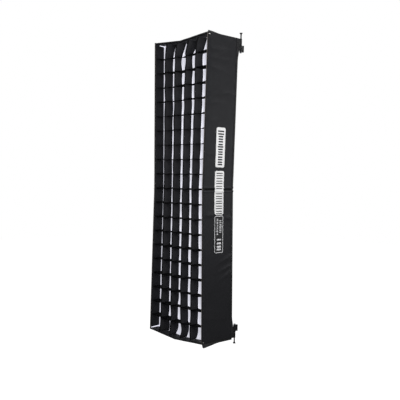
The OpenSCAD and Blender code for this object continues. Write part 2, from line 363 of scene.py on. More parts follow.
def make_nylon():
    finish = cloth_finish(
        "coated_nylon", colours().nylon, woven, 0.60, 0.35, 1.1 * MM,
        Specular_IOR_Level=0.13, Sheen_Weight=0.03, Sheen_Roughness=0.45,
    )
    place = finish.node("ShaderNodeTexCoord", output="Object")
    split = finish.node("ShaderNodeSeparateXYZ", inputs={0: place})
    height = finish.node_of(split, 2)
    # Painted shade darkens the cloth deep in the mid-height fold, and a painted highlight makes the ridge below it
    # pale
    crease_reach, ridge_reach, ridge_drop = 3.6 * MM, 3.8 * MM, 9.0 * MM
    height = height + finish.noise(40.0) * 0.002 - 0.001
    # Painted shade in the fold's groove
    crease = (1.8 - height.size() / crease_reach).most(0.0)
    # Painted highlight on the ridge below the fold, which catches the light from above
    edge_wear_and_ridge_highlight = (1.0 - (height + ridge_drop).size() / ridge_reach).most(0.0)
    seen = finish.between(edge_wear_and_ridge_highlight, finish.fed("Base Color"), shade(colours().nylon, 2.4))
    finish.feed("Base Color", finish.between(crease, seen, shade(colours().nylon, 0.15)))
    return finish


EDGE_BAND_START = 0.385  # where the dark bands at a strip's front and rear edges start, as a share of its depth from its middle; the rear band is painted shade where the strip meets the diffuser


def make_grid_cloth(name="grid_cloth", painted_lightness=1.0):
    # A lightness under 1 darkens a copy of the cloth as painted shade; 1 leaves the cloth as it is
    finish = cloth_finish(
        name, shade(colours().grid, painted_lightness), woven, 0.86, 0.4, 1.4 * MM, 0.5,
        Specular_IOR_Level=0.12 * min(painted_lightness * 2, 1),
    )
    across, _ = finish.surface()
    # Dark bands at a strip's front and rear edges: the rear one is painted shade where the strip meets the
    # diffuser
    hem = (across / GRID_DEPTH - 0.5).size().over(EDGE_BAND_START)
    edge_band_colour = shade(colours().grid, 0.20 * painted_lightness)
    finish.feed("Base Color", finish.between(hem, finish.fed("Base Color"), edge_band_colour))
    return finish


def make_diffusion():
    # The cloth glows as painted light: its emission stands in for the lamp that shines through it
    finish = Finish("diffusion_cloth", Roughness=0.75, Specular_IOR_Level=0.2, Emission_Strength=0.8)
    relief = woven(finish, 0.9 * MM)
    across, _ = finish.surface()
    slow = finish.noise(7.0, 2.0)
    # Soft folds run up the cloth: in its relief, and as painted shade in its colour and its glow
    wander, pitch = 16 * MM, 34 * MM
    folds = ((across + slow * wander) * (2 * math.pi / pitch)).sine() * 0.5 + 0.5
    tone = folds * 0.55 + slow * 0.3 + finish.noise(40.0) * 0.15
    cloth = finish.between(tone, shade(colours().diffusion, 0.70), shade(colours().diffusion, 1.06))
    finish.feed("Base Color", cloth)
    finish.feed("Emission Color", cloth)
    finish.bump(relief * 0.2 + folds, 0.25, 1.2 * MM)
    return finish


def make_hook_tape():
    finish = Finish("hook_tape", Roughness=0.9, Specular_IOR_Level=0.2)
    across, up = finish.surface()
    pitch = 2 * math.pi / (1.5 * MM)
    hooks = ((across * pitch).sine() * (up * pitch).sine()).over(0.15)
    grain = finish.noise(300.0, 2.0)
    finish.feed("Base Color", finish.between(
        hooks * 0.6 + grain * 0.4, (0.010, 0.010, 0.011), (0.040, 0.040, 0.043)
    ))
    finish.bump(hooks + grain * 0.3, 0.8, 0.6 * MM)
    return finish


def make_print(name, colour):
    return grained_finish(
        name, (500.0, 2.0), shade(colour, 0.8), shade(colour, 1.15), 0.5, (0.15, 0.05 * MM),
        Specular_IOR_Level=0.4,
    )


def make_rubber():
    finish = Finish("moulded_rubber", Specular_IOR_Level=0.2)
    grain = finish.noise(700.0, 4.0)
    dust = finish.noise(30.0)
    finish.feed("Base Color", finish.between(dust, (0.005, 0.005, 0.006), (0.015, 0.015, 0.016)))
    finish.feed("Roughness", dust * 0.2 + 0.58)
    finish.bump(grain, 0.35, 0.15 * MM)
    return finish


def make_plastic():
    finish = Finish("moulded_plastic", Specular_IOR_Level=0.3)
    grain = finish.noise(1400.0, 3.0)
    wear = finish.noise(60.0, 4.0)
    edge = finish.node("ShaderNodeNewGeometry", output="Pointiness")
    edge_wear_and_ridge_highlight = (edge - 0.5).most(0.0) * 3.0 * wear
    finish.feed("Base Color", finish.between(edge_wear_and_ridge_highlight, (0.006, 0.006, 0.007), (0.06, 0.06, 0.063)))
    finish.feed("Roughness", wear * 0.25 + 0.32)
    finish.bump(grain, 0.25, 0.08 * MM)
    return finish


def make_floor():
    finish = Finish("pale_floor", Roughness=0.9, Specular_IOR_Level=0.1, Emission_Strength=1.0)
    tone = finish.noise(0.6, 2.0)
    finish.feed("Base Color", finish.between(tone, (0.50, 0.50, 0.50), (0.54, 0.54, 0.54)))
    # Bright to the camera alone, so that it does not light the box from below
    seen = finish.node("ShaderNodeLightPath", output="Is Camera Ray")
    finish.feed("Emission Color", finish.between(seen, (0, 0, 0), (1.0, 1.0, 1.0)))
    return finish


# What makes each finish. After its material's name, a cloth takes its colour, weave, roughness,
# strength of relief, pitch and spread of colour. A grained one takes its grain's scale and detail,
# two colours, its roughness, and its relief's strength and depth.
MAKERS = {
    "nylon": make_nylon,
    "grid_cloth": make_grid_cloth,
    # The cross strips take the grid's own cloth, darkened as painted shade for their shaded undersides
    "grid_cross_cloth": lambda: make_grid_cloth("grid_cross_cloth", 0.12),
    "lip_cloth": lambda: cloth_finish(
        "lip_cloth", shade(colours().nylon, 0.8), woven, 0.7, 0.35, 1.2 * MM, Specular_IOR_Level=0.2
    ),
    "lining": lambda: cloth_finish(
        "white_lining", colours().lining, woven, 0.5, 0.2, 1.3 * MM, 0.07, Specular_IOR_Level=0.5
    ),
    "diffusion": make_diffusion,
    "webbing": lambda: cloth_finish(
        "ribbed_webbing", (0.014, 0.014, 0.0155), ribbed, 0.68, 0.7, 1.6 * MM, Specular_IOR_Level=0.3
    ),
    "binding": lambda: cloth_finish(
        "grosgrain_binding", (0.022, 0.022, 0.024), ribbed, 0.58, 0.7, 1.3 * MM,
        Specular_IOR_Level=0.4,
    ),
    "piping": lambda: cloth_finish(
        "corded_piping", colours().piping, twisted, 0.62, 0.8, 2.2 * MM, 0.3,
        Specular_IOR_Level=0.35,
    ),
    "hook_tape": make_hook_tape,
    "pale_tape": lambda: cloth_finish(
        "pale_tape", (0.62, 0.62, 0.65), ribbed, 0.7, 0.6, 1.2 * MM, 0.1
    ),
    "pale_label": lambda: cloth_finish(
        "pale_label", colours().label, woven, 0.52, 0.3, 0.8 * MM, 0.06, Coat_Weight=0.05
    ),
    "dark_label": lambda: cloth_finish(
        "dark_label", (0.010, 0.010, 0.011), woven, 0.45, 0.3, 0.8 * MM, 0.25, Coat_Weight=0.08
    ),
    "dark_print": lambda: make_print("dark_print", (0.012, 0.012, 0.014)),
    "pale_print": lambda: make_print("pale_print", (0.72, 0.72, 0.74)),
    "rubber": make_rubber,
    "plastic": make_plastic,
    "grey_plastic": lambda: grained_finish(
        "grey_plastic", (900.0, 3.0), (0.085, 0.09, 0.10), (0.14, 0.145, 0.16), 0.4,
        (0.2, 0.08 * MM), Specular_IOR_Level=0.5,
    ),
    "rivet": lambda: grained_finish(
        "plated_rivet", (1200.0, 4.0), (0.52, 0.51, 0.49), (0.86, 0.85, 0.83), 0.22,
        (0.2, 0.03 * MM), Metallic=1.0,
    ),
    "thread": lambda: grained_finish(
        "sewing_thread", (2500.0, 2.0), (0.020, 0.020, 0.022), (0.055, 0.055, 0.058), 0.5, None,
        Specular_IOR_Level=0.4,
    ),
    "board": lambda: grained_finish(
        "stiffener_board", (350.0, 3.0), (0.030, 0.030, 0.032), (0.060, 0.060, 0.064), 0.55,
        (0.2, 0.1 * MM), Specular_IOR_Level=0.4,
    ),
    "floor": make_floor,
}
FINISHES = {}


def finish_of(name):
    """The material of that name, made the first time that it is asked for."""
    if name not in FINISHES:
        FINISHES[name] = MAKERS[name]().material
    return FINISHES[name]


# ---------------------------------------------------------------- modelling


def piece_from(name, bm, finish, smooth=True):
    """An object at the origin from a bmesh, with one finish."""
    mesh = bpy.data.meshes.new(name)
    bm.to_mesh(mesh)
    bm.free()
    mesh.materials.append(finish_of(finish))
    if smooth:
        mesh.shade_smooth()
    piece = bpy.data.objects.new(name, mesh)
    bpy.context.scene.collection.objects.link(piece)
    return piece


def add_panel(bm, columns, rows, place, spans, flip=False, closed=False):
    """A grid of faces laid out by place(u, v), u and v from 0 to 1, with its map in metres.

    Where closed, its first and last columns meet, as round a tube or a band.
    """
    uv = bm.loops.layers.uv.verify()
    verts = bmesh.ops.create_grid(bm, x_segments=columns, y_segments=rows, size=0.5)["verts"]
    shares = {vert: (vert.co.x + 0.5, vert.co.y + 0.5) for vert in verts}
    faces = list({face for vert in verts for face in vert.link_faces})
    for face in faces:
        for loop in face.loops:
            u, v = shares[loop.vert]
            loop[uv].uv = (u * spans[0], v * spans[1])
    for vert, (u, v) in shares.items():
        vert.co = place(u, v)
    if closed:
        rim = [vert for vert, (u, v) in shares.items() if u < 1e-6 or u > 1 - 1e-6]
        bmesh.ops.remove_doubles(bm, verts=rim, dist=1e-6)
    faces = [face for face in faces if face.is_valid]
    if flip:
        bmesh.ops.reverse_faces(bm, faces=faces)
    return faces


def panel(name, finish, columns, rows, place, spans, thickness, flip=False, closed=False):
    """A piece of cloth. Its map's side faces out, and its thickness goes in from there."""
    bm = bmesh.new()
    add_panel(bm, columns, rows, place, spans, flip, closed)
    piece = piece_from(name, bm, finish)
    thicken(piece, thickness)
    return piece


def thicken(piece, thickness, offset=-1.0):
    solidify = piece.modifiers.new("thickness", "SOLIDIFY")
    solidify.thickness = thickness
    solidify.offset = offset
    solidify.use_even_offset = False


def add_tube(bm, points, radius, sides, rings, swell=None):
    """A round cord along a line of points, closed at both ends."""
    length = sum((Vector(b) - Vector(a)).length for a, b in zip(points, points[1:]))
    ahead = 0.5 / rings

    def place(u, v):
        centre = along(points, v)
        way = (along(points, min(v + ahead, 1)) - along(points, max(v - ahead, 0))).normalized()
        aside = way.cross(Vector((0, 1, 0)) if abs(way.y) < 0.9 else Vector((1, 0, 0))).normalized()
        over = way.cross(aside)
        r = radius * (swell(v) if swell else 1)
        turn = 2 * math.pi * u
        return centre + aside * (r * math.cos(turn)) + over * (r * math.sin(turn))

    faces = add_panel(bm, sides, rings, place, (2 * math.pi * radius, length), closed=True)
    open_edges = [edge for face in faces for edge in face.edges if edge.is_boundary]
    bmesh.ops.holes_fill(bm, edges=list(set(open_edges)), sides=0)
    outward(bm)


def add_turned(bm, profile, centre, steps=28):
    """A turned shape: a profile of (radius, height) points spun about an upright axis."""
    before = set(bm.verts)
    verts = [bm.verts.new((centre[0] + r, centre[1], z)) for r, z in profile]
    edges = [bm.edges.new(pair) for pair in zip(verts, verts[1:])]
    bmesh.ops.spin(
        bm, geom=verts + edges, cent=(centre[0], centre[1], 0), axis=(0, 0, 1),
        angle=2 * math.pi, steps=steps, use_merge=True,
    )
    new = [vert for vert in bm.verts if vert not in before]
    bmesh.ops.remove_doubles(bm, verts=new, dist=1e-6)


def add_block(bm, low_corner, high_corner, bevel, segments=2):
    """A box between two corners, with round edges."""
    verts = bmesh.ops.create_cube(bm, size=1.0)["verts"]
    size = Vector(high_corner) - Vector(low_corner)
    centre = (Vector(high_corner) + Vector(low_corner)) / 2
    bmesh.ops.scale(bm, vec=size, verts=verts)
    bmesh.ops.translate(bm, vec=centre, verts=verts)
    edges = list({edge for vert in verts for edge in vert.link_edges})
    bmesh.ops.bevel(
        bm, geom=edges, offset=bevel, segments=segments, affect="EDGES", profile=0.5, material=-1
    )


def outward(bm):
    bmesh.ops.recalc_face_normals(bm, faces=bm.faces[:])


def set_down(piece, body, nodes=()):
    """The piece rides on a body and stands for CAD nodes."""
    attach(piece, body)
    if nodes:
        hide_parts(*nodes)


def crumple(piece):
    """Gives a soft front piece a mesh of its own."""
    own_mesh(piece)


def set_soft(name, bm, finish, thickness, offset, nodes=()):
    """A soft front piece: it rides on the right wall, with a mesh of its own."""
    piece = piece_from(name, bm, finish)
    thicken(piece, thickness, offset)
    set_down(piece, "right_side", nodes)
    crumple(piece)


SIDES = (("right", 1), ("left", -1))
ENDS = (("top", 1), ("bottom", -1))


# ---------------------------------------------------------------- long walls

# Soft wrinkles of a cover: place behind the front edge, height on the wall, lean in degrees, length,
# width and share of the setting's height
RIGHT_WRINKLES = (
    (0.040, 0.595, 5, 0.055, 0.0085, 0.9),
    (0.060, 0.556, 2, 0.060, 0.0070, 0.6),
    (0.045, 0.515, -6, 0.055, 0.0080, 0.5),
    (0.152, 0.470, 28, 0.040, 0.0080, 0.2),
    (0.090, 0.412, 9, 0.075, 0.0095, 0.9),
    (0.050, 0.370, 7, 0.045, 0.0085, 0.6),
    (0.030, 0.300, 6, 0.035, 0.0080, 0.4),
    (0.040, 0.150, 2, 0.040, 0.0090, 0.3),
    (0.040, -0.110, 3, 0.050, 0.0110, 0.8),
    (0.160, -0.125, -4, 0.035, 0.0090, 0.7),
    (0.145, -0.300, 26, 0.045, 0.0075, 1.0),
    (0.150, -0.340, 20, 0.050, 0.0065, 0.9),
    (0.145, -0.372, 30, 0.045, 0.0060, 0.9),
    (0.060, -0.560, -8, 0.050, 0.0090, 0.2),
)
LEFT_WRINKLES = (
    (0.050, 0.560, -5, 0.070, 0.013, 0.8),
    (0.140, 0.300, 30, 0.050, 0.012, 0.6),
    (0.060, -0.240, 6, 0.060, 0.014, 0.5),
    (0.130, -0.470, -28, 0.060, 0.012, 0.8),
)

WRINKLE_FREE = 22 * MM  # the cover's margin, where its wrinkles die out
COVER_LIFT = 0.15 * MM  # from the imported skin's face to the cover's
LINING_THICKNESS = 0.6 * MM


def ridge(y, z, wrinkle):
    """Height share of one wrinkle at a place on a long wall."""
    behind, up, lean, length, width, share = wrinkle
    dy, dz = y - FRONT - behind, z - up
    c, s = math.cos(math.radians(lean)), math.sin(math.radians(lean))
    a, b = dy * c + dz * s, -dy * s + dz * c
    return share * math.exp(-((a / length) ** 2) - (b / width) ** 2)


def fold_relief(y, z, seed):
    """The cover at its mid-height fold: a deep groove, with a ridge above it and a ridge below it."""
    wander = 0.7 * MM * wave(seed, y / 0.045)
    dz = z - wander
    depth = 3.9 * MM * (1 + 0.1 * wave(seed + 3, y / 0.03))
    groove = -depth * math.exp(-((dz / (2.7 * MM)) ** 4))
    upper = 2.2 * MM * math.exp(-(((dz - 6.5 * MM) / (4.5 * MM)) ** 2))
    lower = 3.0 * MM * math.exp(-(((dz + 7.5 * MM) / (4.0 * MM)) ** 2))
    return groove + upper + lower


def fold_seed(side):
    return 2 if side > 0 else 5


def cover_relief(y, z, side):
    """How far a long wall's cover stands out from its flat place."""
    wrinkles = RIGHT_WRINKLES if side > 0 else LEFT_WRINKLES
    seed = fold_seed(side)
    edge = min(y - FRONT, WALL_BACK - y, TOP - abs(z))
    inside = step(edge / WRINKLE_FREE)
    pillow = 0.9 * MM + 0.5 * MM * wave(seed, y / 0.11, z / 0.19)
    pillow += 0.45 * MM * wave(seed + 1, y / 0.09, z / 0.030)
    soft = sum(ridge(y, z, wrinkle) for wrinkle in wrinkles) * sizes().wrinkle
    return max(inside * (pillow + soft), 0.0) + fold_relief(y, z, seed)


def cover_x(y, z, side):
    """Outer face of a long wall's cover."""
    return side * (half_width(z) + COVER_LIFT + cover_relief(y, z, side))


def height_at(v):
    """Height along a long wall, with closer rows near its fold."""
    t = 2 * v - 1
    return TOP * (0.45 * t + 0.55 * t * abs(t))


def rear_edge(z):
    """Rear edge of a long wall's hem: its corners reach back to the rear plane."""
    ear = sizes().ear
    share = (abs(z) - (TOP - ear)) / (ear * 2 / 3)
    return mix(REAR_EDGE, 0.0, min(max(share, 0.0), 1.0))


def build_cover(name, side):
    """Outer nylon of a long wall, tight over its boards and creased at its fold."""

    def place(u, v):
        y, z = mix(FRONT, WALL_BACK, u), height_at(v)
        return Vector((cover_x(y, z, side), y, z))

    spans = (WALL_BACK - FRONT, 2 * TOP)
    piece = panel(
        f"{name}_wall_cover", "nylon", 36, 420, place, spans, sizes().cloth, flip=side < 0
    )
    set_down(piece, f"{name}_side", [f"{name}_skin"])


def build_lining(name, side):
    """White lining of a long wall, behind the diffuser."""
    seed = 7 if side > 0 else 9

    def place(u, v):
        y, z = mix(LIP_BACK, WALL_BACK, u), height_at(v)
        slack = 0.3 * MM * (1 + wave(seed, y / 0.05, z / 0.09))
        return Vector((side * (half_width(z) - WALL + slack), y, z))

    spans = (WALL_BACK - LIP_BACK, 2 * TOP)
    piece = panel(
        f"{name}_wall_lining", "lining", 20, 160, place, spans, LINING_THICKNESS, flip=side > 0
    )
    set_down(piece, f"{name}_side", [f"{name}_lining"])


def build_facing(name, side):
    """Black cloth that turns round a long wall's front edge and lines it as deep as the lip."""
    seed = 11 if side > 0 else 13
    turn_in = 9 * MM
    points = (
        (0.35 * MM, FRONT + turn_in), (0.35 * MM, FRONT + 1 * MM), (-0.5 * MM, FRONT - 0.5 * MM),
        (-WALL + 0.5 * MM, FRONT - 0.5 * MM), (-WALL - 0.25 * MM, FRONT + 1 * MM),
        (-WALL - 0.25 * MM, LIP_BACK - 1 * MM),
    )
    section = [(out, y, 0) for out, y in points]

    def place(u, v):
        z = height_at(v)
        out, y, _ = along(section, u)
        lift = max(fold_relief(y, z, fold_seed(1)), 0.0) if out > 0 else 0.0
        ripple = 0.12 * MM * wave(seed, y / 0.02, z / 0.04)
        return Vector((side * (half_width(z) + out + lift + ripple), y, z))

    length = turn_in + WALL + LIP_BACK - FRONT
    piece = panel(
        f"{name}_wall_facing", "lip_cloth", 22, 200, place, (length, 2 * TOP), 0.2 * MM,
        flip=side > 0,
    )
    set_down(piece, f"{name}_side")


def build_fold_tape(name, side):
    """Pale tape over the inside of a long wall's fold."""
    tape_low, tape_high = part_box(f"{name}_fold_tape")

    def place(u, v):
        y, z = mix(tape_low.y, tape_high.y, u), mix(tape_low.z, tape_high.z, v)
        lift = 0.9 * MM + 0.2 * MM * wave(4, y / 0.02, z / 0.02)
        return Vector((side * (half_width(z) - WALL - lift), y, z))

    spans = (tape_high.y - tape_low.y, tape_high.z - tape_low.z)
    piece = panel(
        f"{name}_inner_fold_tape", "pale_tape", 24, 10, place, spans, 0.7 * MM, flip=side > 0
    )
    set_down(piece, f"{name}_side", [f"{name}_fold_tape"])


def build_piping(name, side):
    """Corded piping along a long wall's front edge, with its folded flange."""
    y = (low("right_front_piping").y + high("right_front_piping").y) / 2
    points = []
    for k in range(41):
        z = TOP * (k / 20 - 1)
        x = half_width(z) - WALL / 2 + 0.25 * MM * wave(6, z / 0.05)
        points.append((side * x, y + 0.2 * MM * wave(8, z / 0.04), z * 0.9985))
    bm = bmesh.new()
    add_tube(bm, points, PIPING / 2, 10, 260)

    def flange(u, v):
        z = TOP * (2 * v - 1) * 0.998
        return Vector((side * (half_width(z) - mix(0.1, 0.9, u) * WALL), FRONT - 0.9 * MM, z))

    faces = add_panel(bm, 3, 120, flange, (WALL, 2 * TOP), flip=side < 0)
    bmesh.ops.solidify(bm, geom=faces, thickness=0.5 * MM)
    piece = piece_from(f"{name}_edge_piping", bm, "piping")
    set_down(piece, f"{name}_side", [f"{name}_front_piping"])


def build_hem(name, side):
    """Webbing folded over a long wall's rear edge, with corners that reach back."""
    width = sizes().hem
    root = WALL_BACK - width

    def place(u, v):
        z = height_at(v)
        back = rear_edge(z) - 0.4 * MM
        flare = (back - REAR_EDGE) * 0.12
        # The inner fold lies closer near the corners, where the post sleeves are
        near_corner = step((abs(z) - (TOP - 32 * MM)) / (12 * MM))
        inner = 0.3 * MM + 0.8 * MM * (1 - near_corner)
        points = (
            (1.5 * MM, root), (1.6 * MM, WALL_BACK), (1.3 * MM + flare, back - 1.2 * MM),
            (0.3 * MM + flare, back), (-WALL - 0.2 * MM, back), (-WALL - inner, back - 1.2 * MM),
            (-WALL - inner + 0.1 * MM, root + 3 * MM),
        )
        out, y, _ = along([(a, b, 0) for a, b in points], u)
        ripple = 0.25 * MM * wave(3, y / 0.02, z / 0.05) if out > 0 else 0.0
        crease = fold_relief(y, z, fold_seed(side)) if out > 0 else 0.0
        return Vector((side * (half_width(z) + out + ripple + crease), y, z))

    piece = panel(
        f"{name}_rear_hem_tape", "webbing", 24, 230, place, (2 * width + WALL, 2 * TOP),
        0.9 * MM, flip=side < 0,
    )
    set_down(piece, f"{name}_side", [f"{name}_rear_hem"])


def build_edge_strips(name, side):
    """Cloth that closes a long wall's top and bottom edges between its cover and its lining."""
    bm = bmesh.new()
    for _, end in ENDS:

        def place(u, v):
            y = mix(FRONT, WALL_BACK, v)
            x = half_width(TOP) + 0.1 * MM - u * (WALL + 0.1 * MM)
            return Vector((side * x, y, end * (TOP + 0.25 * MM)))

        add_panel(bm, 3, 40, place, (WALL, WALL_BACK - FRONT), flip=side * end > 0)
    piece = piece_from(f"{name}_wall_edges", bm, "lip_cloth")
    thicken(piece, 0.5 * MM)
    set_down(piece, f"{name}_side")


def build_bindings(name, side):
    """Seam bindings that stand off a long wall's top and bottom edges."""
    fin_low, fin_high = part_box(f"{name}_seam_bindings")
    top_h, low_h = fin_high.z - TOP, -TOP - fin_low.z
    x0 = SIDE - 1 * MM

    def upper(u, v):
        y = mix(FRONT - 0.5 * MM, WALL_BACK + 1 * MM, u)
        tall = mix(top_h * 0.9, top_h * 0.15, step(u * 2.2)) * (1 + 0.10 * wave(2, y / 0.03))
        lean = 0.9 * MM * v * wave(5, y / 0.04)
        return Vector((side * (x0 + lean), y, TOP - 1 * MM + v * (tall + 1 * MM)))

    def lower(u, v):
        y = mix(FRONT, WALL_BACK + 1 * MM, u)
        share = (y - FRONT) / (WALL_BACK - FRONT)
        tip = 5 * MM
        hang = mix(low_h, low_h * 0.42, step(share * 1.6))
        hang *= min((y - FRONT) / tip, 1) if y < FRONT + tip else 1
        hang *= 1 + 0.06 * wave(7, y / 0.03)
        lean = (1.2 * MM * wave(9, y / 0.05) + 1.4 * MM * (1 - share)) * v
        return Vector((side * (x0 + lean), y, -TOP + 1 * MM - v * (hang + 1 * MM)))

    bm = bmesh.new()
    add_panel(bm, 60, 4, upper, (WALL_BACK - FRONT, top_h), flip=side < 0)
    add_panel(bm, 60, 6, lower, (WALL_BACK - FRONT, low_h), flip=side > 0)
    piece = piece_from(f"{name}_edge_bindings", bm, "binding")
    thicken(piece, 1.8 * MM, 0.0)
    round_off = piece.modifiers.new("soft edge", "BEVEL")
    round_off.width = 0.5 * MM
    round_off.segments = 2
    round_off.limit_method = "ANGLE"
    round_off.angle_limit = math.radians(50)
    set_down(piece, f"{name}_side", [f"{name}_seam_bindings"])


def build_rivets(name, side):
    """Domed rivets at a long wall's two front corners."""
    rivet_low, rivet_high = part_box(f"{name}_rivets")
    radius = (rivet_high.y - rivet_low.y) / 2
    y, z = (rivet_low.y + rivet_high.y) / 2, rivet_high.z - radius
    rise = radius * 0.42  # a low dome
    turns = [math.pi / 2 * k / 7 for k in range(7)]
    profile = [
        (radius * 1.25, -0.1 * MM), (radius * 1.25, 0.15 * MM),
        *((radius * math.cos(turn), rise * math.sin(turn)) for turn in turns), (0.0, rise),
    ]
    upset = Matrix.Rotation(math.radians(90 * side), 4, "Y")
    bm = bmesh.new()
    for _, end in ENDS:
        before = set(bm.verts)
        add_turned(bm, profile, (0, 0), 20)
        new = [vert for vert in bm.verts if vert not in before]
        face = abs(cover_x(y, end * z, side)) + 0.3 * MM
        move = Matrix.Translation((side * face, y, end * z))
        bmesh.ops.transform(bm, matrix=move @ upset, verts=new)
    outward(bm)
    piece = piece_from(f"{name}_rivet_heads", bm, "rivet")
    set_down(piece, f"{name}_side", [f"{name}_rivets"])


class SOFTBOX_OT_long_walls(bpy.types.Operator):
    """Builds both long walls: cover, lining, facing, fold tape, piping, hem, bindings and rivets"""

    bl_idname = "softbox.long_walls"
    bl_label = "Long walls"

    def execute(self, context):
        for name, side in SIDES:
            for build in (
                build_cover, build_lining, build_facing, build_fold_tape, build_piping,
                build_hem, build_edge_strips, build_bindings, build_rivets,
            ):
                build(name, side)
        return {"FINISHED"}


# ---------------------------------------------------------------- end walls


HINGE_REACH = 10 * MM  # how far a hinge cloth lies on each half
HINGE_RISE = 1.2 * MM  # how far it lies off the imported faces


def hinge_rise(end):
    """Where a hinge cloth lies, above the lower face of an end wall."""
    return WALL + HINGE_RISE if end > 0 else -HINGE_RISE


def end_place(run, rise, end, side):
    """A place in an end wall's half: run from its hinge to the ridge, rise above its lower face."""
    pivot_z = TOP - WALL if end > 0 else -TOP
    c, s = math.cos(END_TILT), math.sin(END_TILT)
    return Vector((side * (HINGE_X - run * c - rise * s), 0, pivot_z - run * s + rise * c))


def end_cloth(name, finish, end, side, outer, seed, slack):
    """One cloth of an end wall's half, on its outer or its inner face."""
    faces_up = (end > 0) == outer
    rise0 = WALL if faces_up else 0.0
    out = 1 if faces_up else -1
    first, last = 0.4 * MM, END_LEN - 0.4 * MM

    def place(u, v):
        run, y = mix(first, last, u), mix(END_FRONT, END_BACK, v)
        edge = min(run, END_LEN - run, y - END_FRONT, END_BACK - y)
        lift = step(edge / (18 * MM)) * slack * (1 + 0.6 * wave(seed, run / 0.05, y / 0.05))
        base = 0.15 * MM * min(1.0, (END_LEN - run) / (3 * MM))
        at = end_place(run, rise0 + out * (base + lift), end, side)
        return Vector((at.x, y, at.z))

    spans = (last - first, END_BACK - END_FRONT)
    flip = (out * side) > 0
    return panel(name, finish, 26, 20, place, spans, 0.8 * MM, flip=flip), spans


def build_hinge(name, body_a, body_b, points, bend, side, out):
    """A strip of cloth sewn across a hinge, laid along points in x and z."""

    def place(u, v):
        x, _, z = along([(a, 0, b) for a, b in points], u)
        y = mix(END_FRONT + 1 * MM, END_BACK - 1 * MM, v)
        return Vector((side * x, y, z + out * 0.15 * MM * wave(3, y / 0.02)))

    width = sum(math.dist(a, b) for a, b in zip(points, points[1:]))
    flip = (out * side) > 0
    if points[0][0] < points[-1][0]:
        flip = not flip
    thick = 0.6 * MM if body_b else 0.2 * MM
    piece = panel(
        name, "binding", 12, 30, place, (width, END_BACK - END_FRONT), thick, flip=flip
    )
    if body_b:
        start, end = bend
        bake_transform(piece)
        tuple(start)
        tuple(end)
    else:
        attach(piece, body_a)


def flat_points(places):
    return [(abs(p.x), p.z) for p in places]


class SOFTBOX_OT_end_walls(bpy.types.Operator):
    """Builds the two halves of each end wall and the cloth hinges that join them"""

    bl_idname = "softbox.end_walls"
    bl_label = "End walls"

    def execute(self, context):
        for end_name, end in ENDS:
            for name, side in SIDES:
                self.half(end_name, end, name, side)
            self.ridge(end_name, end)
        return {"FINISHED"}

    def half(self, end_name, end, name, side):
        body = f"{end_name}_{name}_half"
        stem = f"{end_name}_{name}"
        for kind, finish, slot, node, outer, seed, slack in (
            ("cover", "nylon", "black_nylon", "skin", True, 21, 0.9 * MM),
            ("inner_lining", "lining", "white_lining", "lining", False, 31, 0.5 * MM),
        ):
            cloth, spans = end_cloth(f"{stem}_{kind}", finish, end, side, outer, seed + side, slack)
            set_down(cloth, body, [f"{stem}_{node}"])
        near = end_place(HINGE_REACH, hinge_rise(end), end, side)
        if end > 0 or side > 0:
            edge = (SIDE - 2.4 * MM, end * (TOP + 0.9 * MM))
            points = [edge, *flat_points([near])]
            bodies = (f"{name}_side", body) if side > 0 else (body, f"{name}_side")
            outer = (side * (SIDE - 3 * MM), 0, end * TOP)
            inner = (side * (HINGE_X - 4 * MM), 0, end * TOP)
            bend = (outer, inner) if side > 0 else (inner, outer)
            build_hinge(f"{stem}_hinge_cloth", *bodies, points, bend, side, end)
        else:
            flap = [end_place(run * MM, -0.35 * MM, end, side) for run in (0.2, 10)]
            build_hinge(f"{stem}_hinge_cloth", body, None, flat_points(flap), None, side, end)

    def ridge(self, end_name, end):
        """The strip across the ridge where an end wall folds at mid-width."""
        rise = hinge_rise(end)
        right = end_place(END_LEN - HINGE_REACH, rise, end, 1)
        left = end_place(END_LEN - HINGE_REACH, rise, end, -1)
        middle = (right + left) / 2
        middle.z = end_place(END_LEN, rise, end, 1).z
        points = [(right.x, right.z), (middle.x, middle.z), (left.x, left.z)]
        bend = ((3 * MM, 0, middle.z), (-3 * MM, 0, middle.z))
        build_hinge(
            f"{end_name}_ridge_cloth", f"{end_name}_right_half", f"{end_name}_left_half",
            points, bend, 1, end,
        )


# ---------------------------------------------------------------- soft front


def lip_z(x, end, rise):
    """Height of a lip at x: its outer face, less rise towards the inside of the box."""
    return end * TOP - sag_at(x) - end * rise


class SOFTBOX_OT_front_lips(bpy.types.Operator):
    """Builds the soft lips across the top and bottom of the front, with their rolled edges"""

    bl_idname = "softbox.front_lips"
    bl_label = "Front lips"

    def execute(self, context):
        reach = SIDE - WALL - 0.4 * MM
        for end_name, end in ENDS:
            self.lip(end_name, end, reach)
            self.rolled_edge(end_name, end, reach + 4 * MM)
        return {"FINISHED"}

    def lip(self, end_name, end, reach):
        def place(u, v):
            x, y = reach * (2 * u - 1), mix(FRONT + 0.5 * MM, LIP_BACK, v)
            inside = step((reach - abs(x)) / (30 * MM))
            ripple = inside * (0.9 * MM * wave(15, x / 0.05, y / 0.04) + 0.5 * MM)
            return Vector((x, y, lip_z(x, end, 0.2 * MM) + end * ripple))

        spans = (2 * reach, LIP_BACK - FRONT)
        piece = panel(
            f"{end_name}_lip_cloth", "lip_cloth", 60, 14, place, spans, 1.6 * MM, flip=end < 0
        )
        set_down(piece, "right_side", [f"{end_name}_front_lip"])
        crumple(piece)

    def rolled_edge(self, end_name, end, reach):
        points = []
        for k in range(25):
            x = reach * (1 - k / 12)
            z = lip_z(x, end, 0.8 * MM) + 0.5 * MM * wave(17, x / 0.04)
            points.append((x, FRONT - 0.6 * MM, z))
        bm = bmesh.new()
        add_tube(bm, points, 2.2 * MM, 10, 110)
        edge = piece_from(f"{end_name}_lip_edge", bm, "binding")
        set_down(edge, "right_side")
        crumple(edge)


